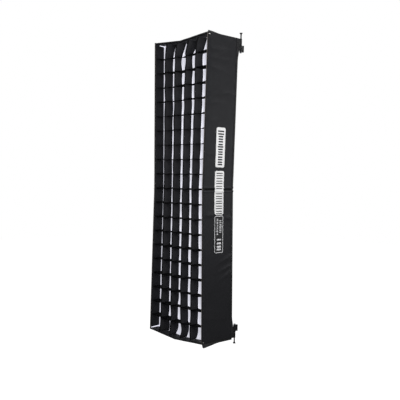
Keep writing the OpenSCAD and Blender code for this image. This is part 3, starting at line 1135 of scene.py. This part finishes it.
# Near the grid's top the long strips bow the most: row from the end, column, front or back, share
TOP_BOWS = (
    (1, 1, 1, -0.8), (1, 2, 0, 0.8), (1, 2, 1, -2.4), (1, 3, 0, 2.2), (1, 3, 1, -1.6),
    (1, 4, 0, -0.4), (1, 4, 1, -1.4), (2, 2, 1, -1.5), (2, 3, 0, 1.2), (2, 3, 1, -1.0),
    (0, 1, 0, 0.2), (0, 1, 1, 0.8), (0, 2, 0, -0.5), (0, 2, 1, 0.4), (0, 3, 0, 0.1),
    (0, 3, 1, 1.7), (0, 4, 0, -1.2), (0, 4, 1, 0.2),
)
# Each long strip's lean at the top end, and at the front and back of the bottom end, in mm
TOP_LEAN = (16, 21, 27, 20)
LOW_LEAN = ((-9, 8), (-2, -5), (2, 0), (0, -8))
# How far each long strip stands off its column, at the front and at the back, in mm
STRIP_OFFSET = ((-5, -1), (-4.5, -4), (-2.5, -3), (-3, -3.5))
DRAWN_STRIPS = len(TOP_LEAN)
GRID_SEED = 4
BAND_STEPS = 320  # places round the band's outline


class Eggcrate:
    """Where the grid's strips run.

    Each crossing is a little off its place, at the front and at the back, and each strip bows between
    its crossings.
    """

    def __init__(self):
        self.columns, self.rows = sizes().grid_columns, sizes().grid_rows
        rng = random.Random(GRID_SEED)
        self.wall = grid_wall_thickness()
        self.half_height = TOP - LIP - SOFT_GAP - self.wall
        places = [
            (row, col, deep)
            for row in range(self.rows + 1)
            for col in range(self.columns + 1)
            for deep in (0, 1)
        ]
        self.shift = {at: (rng.gauss(0, 0.8) * MM, rng.gauss(0, 1.0) * MM) for at in places}
        self.bow = {(kind, *at): rng.gauss(0, 1.0) for kind in ("long", "cross") for at in places}
        for end_row, col, deep, share in TOP_BOWS:
            self.bow["long", self.rows - 1 - end_row, col, deep] = share
        self.bow["long", 0, 1, 0], self.bow["long", 0, 1, 1] = 0.5, 1.5

    def row_height(self, row):
        return (2 * row / self.rows - 1) * self.half_height

    def unrest(self, row):
        """How uneven the strips are at a row: most at the two ends."""
        from_end = min(row, self.rows - row) / self.rows
        return 0.9 + 3.2 * math.exp(-from_end / 0.07)

    def half_inside(self, z):
        """Half the width between the sides of the band at height z."""
        return half_width(z) - WALL - SOFT_GAP - self.wall

    def column_x(self, col, z):
        share = 2 * col / self.columns - 1
        return share * self.half_inside(z)

    def crossing(self, row, col, deep):
        """Shift of a crossing in x and z, between its front (deep 0) and its back (deep 1)."""
        if row in (0, self.rows) or col in (0, self.columns):
            return (0.0, 0.0)
        front, back = self.shift[row, col, 0], self.shift[row, col, 1]
        unrest = self.unrest(row)
        return tuple(mix(a, b, deep) * min(unrest, 2.0) for a, b in zip(front, back))

    def bowed(self, kind, row, col, deep, t):
        amount = mix(self.bow[kind, row, col, 0], self.bow[kind, row, col, 1], deep)
        return amount * math.sin(math.pi * t) * MM

    def end_lean(self, col, z, deep):
        """The long strips are pushed over where they meet the top and bottom bands."""
        cell = 2 * self.half_height / self.rows
        up = max(0.0, (z - (self.half_height - cell * 1.05)) / cell)
        down = max(0.0, (-z - (self.half_height - cell * 0.9)) / cell)
        top_lean = TOP_LEAN[(col - 1) % DRAWN_STRIPS] * mix(0.75, 1.15, deep)
        low_lean = mix(*LOW_LEAN[(col - 1) % DRAWN_STRIPS], deep)
        sharp = 2.6 if col == 1 else 1.3
        return MM * (top_lean * up**sharp + low_lean * down**1.6)

    def long_place(self, col, z, deep):
        """A place on a long strip at height z and depth share deep."""
        at = (z / self.half_height + 1) / 2 * self.rows
        row = min(max(int(at), 0), self.rows - 1)
        t = at - row
        a, b = self.crossing(row, col, deep), self.crossing(row + 1, col, deep)
        unrest = mix(self.unrest(row), self.unrest(row + 1), t)
        offset = mix(*STRIP_OFFSET[(col - 1) % DRAWN_STRIPS], deep)
        skew = 1.2 * (deep - 0.5) * abs(z) / TOP
        x = self.column_x(col, z) + mix(a[0], b[0], step(t)) + (offset + skew) * MM
        x += self.bowed("long", row, col, deep, t) * unrest * 1.35
        x += self.end_lean(col, z, deep)
        ripple = 0.5 * MM * wave(col, z / 0.03, deep * 2.0)
        rear = GRID_BACK - 0.4 * MM - 1.7 * MM * (1 - abs(z) / TOP)
        return Vector((x + ripple, mix(GRID_FRONT, rear, deep), z))

    def cross_place(self, row, x_share, deep):
        """A place on a cross strip at a share of its width and depth share deep."""
        at = x_share * self.columns
        col = min(max(int(at), 0), self.columns - 1)
        t = at - col
        z0 = self.row_height(row)
        a, b = self.crossing(row, col, deep), self.crossing(row, col + 1, deep)
        half = self.half_inside(z0)
        x = mix(-half, half, x_share)
        level = 2 * row / self.rows - 1
        hang = SAG * level**4 * max(0.0, 1 - abs(x) / HINGE_X)
        droop = 1.6 * MM * math.sin(math.pi * t) * (1 - 0.5 * deep)
        tilt = 3.4 * MM * (1 - abs(level)) * (1 - deep) * step(min(x_share, 1 - x_share) / 0.06)
        z = z0 - hang - droop - tilt + mix(a[1], b[1], step(t))
        z += self.bowed("cross", row, col, deep, t) * min(self.unrest(row), 2.6) * 0.9
        ripple = 0.35 * MM * wave(row + 40, x / 0.025, deep * 2.0)
        return Vector((x, mix(GRID_FRONT, GRID_BACK - 0.4 * MM, deep), z + ripple))


def grid_wall_thickness():
    """Thickness of the band round the grid: what the grid's height leaves of it."""
    strip_top = high("grid_long_strips").z
    band_top = high("grid_band").z
    return max(min(band_top - strip_top - SOFT_GAP, 3 * MM), 1 * MM)


def band_outline(rise):
    """Points of a ring that lies rise inside the front opening, going round from its top right."""

    def side_x(z):
        return half_width(z) - WALL - rise

    top = TOP - LIP - rise
    corners = (
        (side_x(top), top), (0, top - SAG), (-side_x(top), top), (-side_x(0), 0),
        (-side_x(top), -top), (0, -top - SAG), (side_x(top), -top), (side_x(0), 0),
        (side_x(top), top),
    )
    line = [(x, 0, z) for x, z in corners]
    return [along(line, k / BAND_STEPS) for k in range(BAND_STEPS + 1)]


def line_length(points):
    return sum((b - a).length for a, b in zip(points, points[1:]))


class SOFTBOX_OT_grid(bpy.types.Operator):
    """Builds the fabric eggcrate grid: its band, its long strips and its cross strips"""

    bl_idname = "softbox.grid"
    bl_label = "Eggcrate grid"

    def execute(self, context):
        crate = Eggcrate()
        self.long_strips(crate)
        self.cross_strips(crate)
        self.band()
        return {"FINISHED"}

    def long_strips(self, crate):
        bm = bmesh.new()
        top = crate.half_height
        for col in range(1, crate.columns):
            x = crate.column_x(col, top)
            lowest, highest = -top - sag_at(x), top - sag_at(x)

            def place(u, v):
                z = mix(lowest, highest, v)
                return crate.long_place(col, z, u)

            add_panel(bm, 6, crate.rows * 10, place, (GRID_DEPTH, 2 * top))
        set_soft(
            "grid_upright_strips", bm, "grid_cloth", sizes().strip, 0.0,
            ["grid_long_strips"],
        )

    def cross_strips(self, crate):
        bm = bmesh.new()
        for row in range(1, crate.rows):

            def place(u, v):
                return crate.cross_place(row, v, u)

            add_panel(bm, 6, crate.columns * 10, place, (GRID_DEPTH, 2 * BAND_X))
        set_soft(
            "grid_level_strips", bm, "grid_cross_cloth", sizes().strip, 0.0,
            ["grid_cross_strips"],
        )

    def band(self):
        outline = band_outline(SOFT_GAP + 0.2 * MM)

        def place(u, v):
            at = outline[round(u * BAND_STEPS)]
            y = mix(GRID_FRONT, GRID_BACK, v)
            return Vector((at.x, y, at.z))

        bm = bmesh.new()
        add_panel(bm, BAND_STEPS, 8, place, (line_length(outline), GRID_DEPTH), closed=True)
        set_soft("grid_edge_band", bm, "lip_cloth", 1.4 * MM, 1.0, ["grid_band"])


class SOFTBOX_OT_diffuser(bpy.types.Operator):
    """Builds the white diffuser, with its soft upright folds, and the hook tape that holds it"""

    bl_idname = "softbox.diffuser"
    bl_label = "Diffuser"

    def execute(self, context):
        margin = SOFT_GAP
        top = TOP - LIP - margin
        y0 = low("diffuser").y + 0.2 * MM
        flat_rim, fold_pitch = 22.5 * MM, 42 * MM

        def place(u, v):
            t = 2 * v - 1
            z_side = top * t
            half = half_width(z_side) - WALL - margin
            x = half * (2 * u - 1)
            z = z_side - sag_at(x) * abs(t)
            # Flat on its tape all round, and slack inside
            edge = min(half - abs(x), top - abs(z_side))
            inside = step((edge - flat_rim) / (30 * MM))
            wander = 10 * MM * wave(23, z / 0.2)
            fold = 0.5 + 0.5 * math.sin(2 * math.pi * (x + wander) / fold_pitch)
            belly = 3.5 * MM * math.sin(math.pi * u) * (1 + 0.3 * wave(25, x / 0.1, z / 0.15))
            return Vector((x, y0 + inside * (belly + 1.8 * MM * fold), z))

        spans = (2 * (SIDE - WALL - margin), 2 * top)
        piece = panel("diffuser_cloth", "diffusion", 72, 150, place, spans, LINING_THICKNESS)
        set_down(piece, "right_side", ["diffuser"])
        crumple(piece)
        self.tape()
        self.corner_tabs()
        return {"FINISHED"}

    def corner_tabs(self):
        """White tabs of the diffuser that show in the left corners, inside the band."""
        bm = bmesh.new()
        top = TOP - LIP - SOFT_GAP - grid_wall_thickness()
        for end, reach, tall in ((1, 28 * MM, 5.0 * MM), (-1, 49 * MM, 5.5 * MM)):

            def place(u, v):
                z = end * (top - 0.4 * MM - u * tall * mix(1.0, 0.55, v))
                x = half_width(top) - WALL - SOFT_GAP - grid_wall_thickness() - 0.7 * MM
                ripple = 0.25 * MM * wave(51, z / 0.01, v * 4)
                return Vector((-x + ripple, low("diffuser").y - v * reach, z))

            add_panel(bm, 3, 24, place, (tall, reach), flip=end < 0)
        outward(bm)
        set_soft("diffuser_corner_tabs", bm, "diffusion", 0.4 * MM, 0.0)

    def tape(self):
        """A flat ring of hook tape behind the diffuser's edge."""
        tape_low, tape_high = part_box("diffuser_tape")
        width = 21.3 * MM
        outer = band_outline(SOFT_GAP + 0.2 * MM)
        inner = band_outline(SOFT_GAP + 0.2 * MM + width)
        y = tape_low.y + 0.1 * MM

        def place(u, v):
            k = round(u * BAND_STEPS)
            at = outer[k].lerp(inner[k], v)
            return Vector((at.x, y + 0.15 * MM * wave(27, at.x / 0.02, at.z / 0.02), at.z))

        bm = bmesh.new()
        add_panel(bm, BAND_STEPS, 5, place, (line_length(outer), width), closed=True)
        set_soft(
            "diffuser_hook_tape", bm, "hook_tape", tape_high.y - tape_low.y - 0.2 * MM, 1.0,
            ["diffuser_tape"],
        )


# ---------------------------------------------------------------- labels


# How far off its label's place each layer lies, and how thick a patch and its print are
PATCH_LIFT, THREAD_LIFT, PRINT_LIFT = 0.75 * MM, 0.85 * MM, 0.95 * MM
PATCH_THICKNESS, PRINT_THICKNESS = 0.6 * MM, 0.25 * MM
PATCH_STEP = 2.5 * MM  # size of a patch's faces
PATCH_CORNER = 9 * MM
MARK_SEED = 8


def label_x(y, z, lift):
    """Face of a label at a place: it follows the cover, but bridges the fold with small puckers."""
    flat = half_width(z) + 1.0 * MM
    cover = cover_x(y, z, 1)
    near = math.exp(-((z / (9 * MM)) ** 2))
    pucker = near * (1.1 * MM + 0.9 * MM * wave(41, y / 0.008, z / 0.006))
    return max(cover, flat + pucker) + lift


def add_patch(bm, centre, size, corner, lift):
    """A patch with round corners on the right wall, pinched at the fold: places are in y and z."""
    columns = max(2, round(size[0] / PATCH_STEP))
    rows = max(2, round(size[1] / PATCH_STEP))
    corner = min(corner, size[0] / 2, size[1] / 2)

    def place(u, v):
        y, z = size[0] * (u - 0.5), size[1] * (v - 0.5)
        in_y, in_z = abs(y) - (size[0] / 2 - corner), abs(z) - (size[1] / 2 - corner)
        if in_y > 0 and in_z > 0:
            pull = max(in_y, in_z) / math.hypot(in_y, in_z)
            y = math.copysign(size[0] / 2 - corner + in_y * pull, y)
            z = math.copysign(size[1] / 2 - corner + in_z * pull, z)
        y, z = centre[0] + y, centre[1] + z
        pinch = math.exp(-((z / (5 * MM)) ** 2))
        y = centre[0] + (y - centre[0]) * (1 - pinch * (0.07 + 0.04 * wave(43, z / 0.003)))
        return Vector((label_x(y, z, lift), y, z))

    add_panel(bm, columns, rows, place, size)


def add_frame(bm, centre, size, inset, line, corner, lift):
    """A line with round corners round a label, inset from its edge."""
    half_y, half_z = size[0] / 2 - inset - line / 2, size[1] / 2 - inset - line / 2
    corners = ((1, 1, 0), (-1, 1, 90), (-1, -1, 180), (1, -1, 270))
    points = []
    for way_y, way_z, first in corners:
        for k in range(7):
            turn = math.radians(first + 15 * k)
            out = Vector((0, math.cos(turn), math.sin(turn)))
            base = Vector((0, way_y * (half_y - corner), way_z * (half_z - corner)))
            points.append((base + out * corner, out))
    points.append(points[0])
    places = [base for base, _ in points]
    count = 120

    def place(u, v):
        at = along(places, round(u * count) / count)
        nearest = min(points, key=lambda pair: (pair[0] - at).length)[1]
        at = at + nearest * ((v - 0.5) * line)
        y, z = centre[0] + at.y, centre[1] + at.z
        return Vector((label_x(y, z, lift), y, z))

    length = 4 * (half_y + half_z)
    add_panel(bm, count, 1, place, (length, line), flip=True, closed=True)


# Bars that stand in for print: their length in mm, then from the top down the gap before each in mm,
# and its share of the label's width
UPPER_BARS = (6.5, (
    (13, 0.66), (5.5, 0.66), (4.5, 0.50), (4.5, 0.50), (4.5, 0.50), (5.5, 0.50), (3.5, 0.60),
    (4.5, 0.50), (4.5, 0.50), (3.5, 0.50), (5.5, 0.50), (4.5, 0.50), (4.5, 0.50), (3.5, 0.50),
))
MIDDLE_BARS = (3.8, (
    (8.4, 0.68), (6.4, 0.70), (7.6, 0.68), (8.2, 0.68), (6.4, 0.70), (8.6, 0.68), (5.6, 0.70),
    (19, 0.70), (7.6, 0.68), (5.6, 0.70), (7.6, 0.68), (5.6, 0.70), (8.2, 0.68), (6.4, 0.70),
    (8.2, 0.68), (5.6, 0.70),
))
# Rows of marks on the dark label: place across it, first and last height as shares of its own, then
# width, thickness and pitch in mm
LOWER_MARKS = (
    (0.18, 0.37, 0.06, 13, 3.4, 7.0),
    (-0.16, 0.41, -0.02, 10, 2.9, 6.4),
    (0.02, -0.12, -0.40, 25, 7.4, 13.5),
)


class SOFTBOX_OT_labels(bpy.types.Operator):
    """Builds the three label patches of the right wall, with plain bars in place of print"""

    bl_idname = "softbox.labels"
    bl_label = "Labels"

    def execute(self, context):
        self.patch("upper_label", "pale_label")
        self.patch("middle_label", "pale_label")
        self.patch("lower_label", "dark_label")
        self.bars("upper_label", *UPPER_BARS)
        self.bars("middle_label", *MIDDLE_BARS)
        self.lower_marks()
        return {"FINISHED"}

    def place_of(self, node):
        patch_low, patch_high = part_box(node)
        centre = ((patch_low.y + patch_high.y) / 2, (patch_low.z + patch_high.z) / 2)
        return centre, (patch_high.y - patch_low.y, patch_high.z - patch_low.z)

    def lay(self, name, bm, finish, thickness, slot, nodes=()):
        piece = piece_from(name, bm, finish)
        thicken(piece, thickness)
        set_down(piece, "right_side", nodes)

    def patch(self, node, finish):
        centre, size = self.place_of(node)
        bm = bmesh.new()
        add_patch(bm, centre, size, PATCH_CORNER, PATCH_LIFT)
        self.lay(f"{node}_patch", bm, finish, PATCH_THICKNESS, finish, [node])

    def bars(self, node, length, bars):
        """A row of plain bars down the label."""
        centre, size = self.place_of(node)
        top = centre[1] + size[1] / 2
        bm = bmesh.new()
        for gap, share in bars:
            top -= gap * MM
            middle = (centre[0], top - length * MM / 2)
            add_patch(bm, middle, (size[0] * share, length * MM), 1.2 * MM, PRINT_LIFT)
            top -= length * MM
        self.lay(f"{node}_print", bm, "dark_print", PRINT_THICKNESS, "dark_label")

    def lower_marks(self):
        """A pale border, a row of bold bars and two rows of small ones on the dark label."""
        centre, size = self.place_of("lower_label")
        bm = bmesh.new()
        inset, line = 1.2 * MM, 2.9 * MM
        add_frame(bm, centre, size, inset, line, 6 * MM, PRINT_LIFT)
        rng = random.Random(MARK_SEED)
        for across, first, last, width, thick, pitch in LOWER_MARKS:
            y = centre[0] + across * size[0]
            z = centre[1] + size[1] * first
            while z > centre[1] + size[1] * last:
                length = thick * rng.uniform(0.85, 1.3) * MM
                add_patch(bm, (y, z - length / 2), (width * MM, length), 1 * MM, PRINT_LIFT)
                z -= pitch * rng.uniform(0.85, 1.15) * MM
        self.lay("lower_label_print", bm, "pale_print", PRINT_THICKNESS, "pale_label")


# ---------------------------------------------------------------- corner fittings


def post_profile(start, top, radius, head):
    """A thin post that flares to a head with a rolled rim."""
    neck = top - 8 * MM
    rim = 2.2 * MM
    return [
        (0, start), (radius - 0.6 * MM, start), (radius, start + 0.6 * MM), (radius, neck),
        (radius * 1.12, neck + 1.2 * MM), (head * 0.62, neck + 3.6 * MM), (head * 0.93, top - rim),
        (head, top - rim * 0.75), (head, top - rim * 0.3), (head * 0.93, top), (head * 0.6, top),
        (head * 0.45, top - 0.8 * MM), (0, top - 1.0 * MM),
    ]


def ring_profile(inner, outer, start, end, cut, rise):
    """A ring's section, with its two outer corners cut off."""
    return [
        (inner, start), (outer - cut, start), (outer, start + rise), (outer, end - rise),
        (outer - cut, end), (inner, end), (inner, start),
    ]


class SOFTBOX_OT_corner_fittings(bpy.types.Operator):
    """Builds the post, sleeve, collar and swing latch at each rear corner"""

    bl_idname = "softbox.corner_fittings"
    bl_label = "Corner fittings"

    def execute(self, context):
        for name, side in SIDES:
            self.posts(name, side)
            self.sleeves(name, side)
            self.collars(name, side)
            for level in ("upper", "lower"):
                self.latch(f"{level}_{name}_latch", side * POST_X)
        return {"FINISHED"}

    def turned(self, name, finish, profile, side):
        bm = bmesh.new()
        for _, end in ENDS:
            add_turned(bm, [(r, end * z) for r, z in profile], (side * POST_X, POST_Y))
        outward(bm)
        return piece_from(name, bm, finish)

    def posts(self, name, side):
        head = (high("right_corner_posts").x - low("right_corner_posts").x) / 2
        top = high("right_corner_posts").z
        start = low("upper_right_latch").z - 4.4 * MM
        profile = post_profile(start, top, 3 * MM, head)
        piece = self.turned(f"{name}_posts", "rubber", profile, side)
        set_down(piece, f"{name}_side", [f"{name}_corner_posts"])

    def sleeves(self, name, side):
        """A webbing loop round each post, sewn flat to the hem's corner."""
        z_high = high("right_post_sleeves").z
        z_low = high("upper_right_latch").z + 0.4 * MM
        r_out, r_in = 4.8 * MM, 3.15 * MM
        bm = bmesh.new()
        for _, end in ENDS:
            profile = [
                (r_in, z_low), (r_out - 0.4 * MM, z_low), (r_out, z_low + 0.5 * MM),
                (r_out * 1.03, (z_low + z_high) / 2), (r_out, z_high - 0.5 * MM),
                (r_out - 0.4 * MM, z_high), (r_in, z_high), (r_in, z_low),
            ]
            add_turned(bm, [(r, end * z) for r, z in profile], (side * POST_X, POST_Y), 24)
            low_z, high_z = sorted((end * z_low, end * z_high))
            for out in (-1, 1):
                x0 = side * POST_X + out * 2.2 * MM
                add_block(
                    bm, (x0 - 0.8 * MM, 0.2 * MM, low_z + 0.6 * MM),
                    (x0 + 0.8 * MM, POST_Y - 2.6 * MM, high_z - 0.6 * MM), 0.35 * MM,
                )
        outward(bm)
        piece = piece_from(f"{name}_post_loops", bm, "webbing")
        set_down(piece, f"{name}_side", [f"{name}_post_sleeves"])

    def collars(self, name, side):
        top = low("upper_right_latch").z - 0.4 * MM
        profile = ring_profile(3.05 * MM, 5 * MM, top - 4 * MM, top, 0.5 * MM, 0.6 * MM)
        piece = self.turned(f"{name}_collars", "grey_plastic", profile, side)
        set_down(piece, f"{name}_side", [f"{name}_post_collars"])

    def latch(self, node, x):
        """A moulded latch: a hub on the post, an arm with grip ribs and a thick toe."""
        latch_low, latch_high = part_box(node)
        z0, z1 = latch_low.z, latch_high.z
        toe = latch_high.y
        bm = bmesh.new()
        add_turned(bm, ring_profile(3.06 * MM, 6 * MM, z0, z1, 0.6 * MM, 0.7 * MM), (x, POST_Y))
        add_block(
            bm, (x - 2.9 * MM, POST_Y + 3.3 * MM, z0 + 1.2 * MM),
            (x + 2.9 * MM, toe - 2 * MM, z1 - 1.2 * MM), 0.8 * MM, 3,
        )
        add_block(
            bm, (x - 4 * MM, toe - 5 * MM, z0 + 0.3 * MM),
            (x + 4 * MM, toe, z1 - 0.3 * MM), 1.3 * MM, 3,
        )
        for k in range(5):
            z = mix(z0 + 4 * MM, z1 - 4 * MM, k / 4)
            add_block(
                bm, (x - 3.6 * MM, POST_Y + 6.5 * MM, z - 0.7 * MM),
                (x + 3.6 * MM, toe - 5.6 * MM, z + 0.7 * MM), 0.45 * MM,
            )
        outward(bm)
        piece = piece_from(f"{node}_body", bm, "plastic", smooth=True)
        piece.data.set_sharp_from_angle(angle=math.radians(35))
        set_down(piece, node, [node])


# ---------------------------------------------------------------- stitching and boards


def add_stitch(bm, centre, side, length, width):
    """One stitch: a short tapered bar that lies upright on a wall's outer face."""
    way, out = Vector((0, 0, 1)), Vector((side, 0, 0))
    aside = out.cross(way)
    for vert in bmesh.ops.create_cube(bm, size=1.0)["verts"]:
        a, b, c = vert.co
        taper = 0.6 if c > 0 else 1.0
        vert.co = centre + way * (a * length * taper) + aside * (b * width * taper)
        vert.co += out * (c * width)


STITCH_FREE = 9 * MM  # no stitches this close to the fold


class SOFTBOX_OT_stitching(bpy.types.Operator):
    """Sews the long walls' front facing, rear hem and label patches"""

    bl_idname = "softbox.stitching"
    bl_label = "Stitching"

    def execute(self, context):
        for name, side in SIDES:
            self.wall_stitches(name, side, sizes().stitch)
        self.label_stitches(sizes().stitch * 0.7)
        return {"FINISHED"}

    def wall_stitches(self, name, side, pitch):
        """One row on the front facing and one on the rear hem, which stop short of the fold."""

        def facing_x(y, z):
            return abs(cover_x(y, z, side)) + 0.35 * MM

        def hem_x(y, z):
            return half_width(z) + 1.75 * MM

        bm = bmesh.new()
        hem_y = WALL_BACK - sizes().hem + 3 * MM
        for y, out_at in ((FRONT + 6.5 * MM, facing_x), (hem_y, hem_x)):
            for k in range(int(2 * TOP / pitch) - 3):
                z = -TOP + (k + 2) * pitch
                if abs(z) >= STITCH_FREE:
                    centre = Vector((side * out_at(y, z), y, z))
                    add_stitch(bm, centre, side, pitch * 0.62, 0.55 * MM)
        piece = piece_from(f"{name}_wall_stitches", bm, "thread", smooth=False)
        set_down(piece, f"{name}_side")

    def label_stitches(self, pitch):
        bm = bmesh.new()
        for node in ("upper_label", "middle_label", "lower_label"):
            patch_low, patch_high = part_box(node)
            inset = 1.3 * MM
            for y in (patch_low.y + inset, patch_high.y - inset):
                z = patch_low.z + 8 * MM
                while z < patch_high.z - 8 * MM:
                    if abs(z) > 10 * MM:
                        centre = Vector((label_x(y, z, THREAD_LIFT), y, z))
                        add_stitch(bm, centre, 1, pitch * 0.6, 0.4 * MM)
                    z += pitch
        piece = piece_from("label_stitches", bm, "thread", smooth=False)
        set_down(piece, "right_side")


class SOFTBOX_OT_boards(bpy.types.Operator):
    """Gives the stiffener boards inside the walls their finish"""

    bl_idname = "softbox.boards"
    bl_label = "Boards"

    def execute(self, context):
        for name, node in frame["nodes"].items():
            if name.endswith("_board"):
                node.data.materials.clear()
                node.data.materials.append(finish_of("board"))
        return {"FINISHED"}


# ---------------------------------------------------------------- stage

# The camera stands to the right of the lit front, a little above the box's middle
VIEW_AZIMUTH, VIEW_RISE, VIEW_ROLL = 47.69, 2.175, 1.152
VIEW_DISTANCE = 2.852
VIEW_ASIDE = 0.030
VIEW_DROP = 0.052
VIEW_LENS, VIEW_SENSOR = 56.7, 36.0
AMBIENT = 0.10
FLOOR_DROP, FLOOR_SIZE = 0.9, 12.0  # the floor's distance below the box, and its half-width
BOX_MIDDLE = (0, (FRONT + REAR_EDGE) / 2, 0)
# Each lamp's name, place, target, size and power
LAMPS = (
    ("key", (1.25, -0.8, 0.30), (0, -0.1, 0.30), 0.8, 11.2),
    ("side", (0.75, 0.45, 0.15), (0.18, -0.02, 0.12), 0.4, 2.2),
    ("high", (0.9, -0.3, 1.9), (0.18, -0.1, 0.2), 0.4, 8.5),
    ("front", (-0.6, -2.6, 1.9), BOX_MIDDLE, 1.6, 45),
    ("rear", (0.6, 3.0, 1.6), BOX_MIDDLE, 2.0, 40),
)


class SOFTBOX_OT_stage(bpy.types.Operator):
    """Sets the camera, the soft studio light and a plain pale floor"""

    bl_idname = "softbox.stage"
    bl_label = "Stage"

    def execute(self, context):
        scene = context.scene
        scene.view_settings.view_transform = "Standard"
        self.camera(scene)
        self.world(scene)
        self.floor()
        for lamp in LAMPS:
            self.light(scene, *lamp)
        return {"FINISHED"}

    def camera(self, scene):
        turn, rise, roll = (math.radians(a) for a in (VIEW_AZIMUTH, VIEW_RISE, VIEW_ROLL))
        back = Vector((
            math.sin(turn) * math.cos(rise), -math.cos(turn) * math.cos(rise), math.sin(rise)
        ))
        right = Vector((math.cos(turn), math.sin(turn), 0))
        up = back.cross(right)
        place = Vector((0, FRONT / 2, 0)) + back * VIEW_DISTANCE
        place += right * VIEW_ASIDE - up * VIEW_DROP
        across = right * math.cos(roll) + up * math.sin(roll)
        upright = up * math.cos(roll) - right * math.sin(roll)
        data = bpy.data.cameras.new("camera")
        data.lens = VIEW_LENS
        data.sensor_width = VIEW_SENSOR
        camera = bpy.data.objects.new("camera", data)
        camera.matrix_world = Matrix((
            (across.x, upright.x, back.x, place.x),
            (across.y, upright.y, back.y, place.y),
            (across.z, upright.z, back.z, place.z),
            (0, 0, 0, 1),
        ))
        scene.collection.objects.link(camera)
        scene.camera = camera

    def world(self, scene):
        world = bpy.data.worlds.new("studio")
        world.use_nodes = True
        tree = world.node_tree
        ambient = tree.nodes["Background"]
        backdrop = tree.nodes.new("ShaderNodeBackground")
        for background, strength in ((ambient, AMBIENT), (backdrop, 1.0)):
            background.inputs["Color"].default_value = (1.0, 1.0, 1.0, 1.0)
            background.inputs["Strength"].default_value = strength
        path = tree.nodes.new("ShaderNodeLightPath")
        choose = tree.nodes.new("ShaderNodeMixShader")
        tree.links.new(path.outputs["Is Camera Ray"], choose.inputs["Fac"])
        tree.links.new(ambient.outputs["Background"], choose.inputs[1])
        tree.links.new(backdrop.outputs["Background"], choose.inputs[2])
        tree.links.new(choose.outputs["Shader"], tree.nodes["World Output"].inputs["Surface"])
        scene.world = world

    def floor(self):
        bm = bmesh.new()
        bmesh.ops.create_grid(bm, x_segments=1, y_segments=1, size=FLOOR_SIZE)
        bmesh.ops.translate(bm, vec=(0, 0, -TOP - FLOOR_DROP), verts=bm.verts[:])
        piece_from("floor", bm, "floor", smooth=False)

    def light(self, scene, name, place, target, size, power):
        data = bpy.data.lights.new(name, "AREA")
        data.shape = "DISK"
        data.size = size
        data.energy = power
        lamp = bpy.data.objects.new(name, data)
        lamp.location = place
        lamp.visible_camera = False
        lamp.rotation_mode = "QUATERNION"
        lamp.rotation_quaternion = (Vector(place) - Vector(target)).to_track_quat("Z", "Y")
        scene.collection.objects.link(lamp)


class SOFTBOX_PT_panel(bpy.types.Panel):
    """Lists the softbox's builders, in the order in which they run"""

    bl_idname = "SOFTBOX_PT_panel"
    bl_label = "Softbox"
    bl_space_type = "VIEW_3D"
    bl_region_type = "UI"
    bl_category = "Softbox"

    def draw(self, context):
        for builder in BUILDERS:
            self.layout.operator(builder.bl_idname)
        for group in (context.scene.softbox_sizes, context.scene.softbox_colours):
            box = self.layout.box()
            for name in group.__annotations__:
                box.prop(group, name)


BUILDERS = (
    SOFTBOX_OT_stage,
    SOFTBOX_OT_long_walls,
    SOFTBOX_OT_end_walls,
    SOFTBOX_OT_front_lips,
    SOFTBOX_OT_grid,
    SOFTBOX_OT_diffuser,
    SOFTBOX_OT_labels,
    SOFTBOX_OT_corner_fittings,
    SOFTBOX_OT_stitching,
    SOFTBOX_OT_boards,
)
CLASSES = (SoftboxSizes, SoftboxColours, *BUILDERS, SOFTBOX_PT_panel)


def register():
    for kind in CLASSES:
        bpy.utils.register_class(kind)
    bpy.types.Scene.softbox_sizes = bpy.props.PointerProperty(type=SoftboxSizes)
    bpy.types.Scene.softbox_colours = bpy.props.PointerProperty(type=SoftboxColours)


def unregister():
    del bpy.types.Scene.softbox_colours
    del bpy.types.Scene.softbox_sizes
    for kind in reversed(CLASSES):
        bpy.utils.unregister_class(kind)


def main():
    register()
    for builder in BUILDERS:
        group, name = builder.bl_idname.split(".")
        getattr(getattr(bpy.ops, group), name)()


if __name__ == "__main__":
    main()
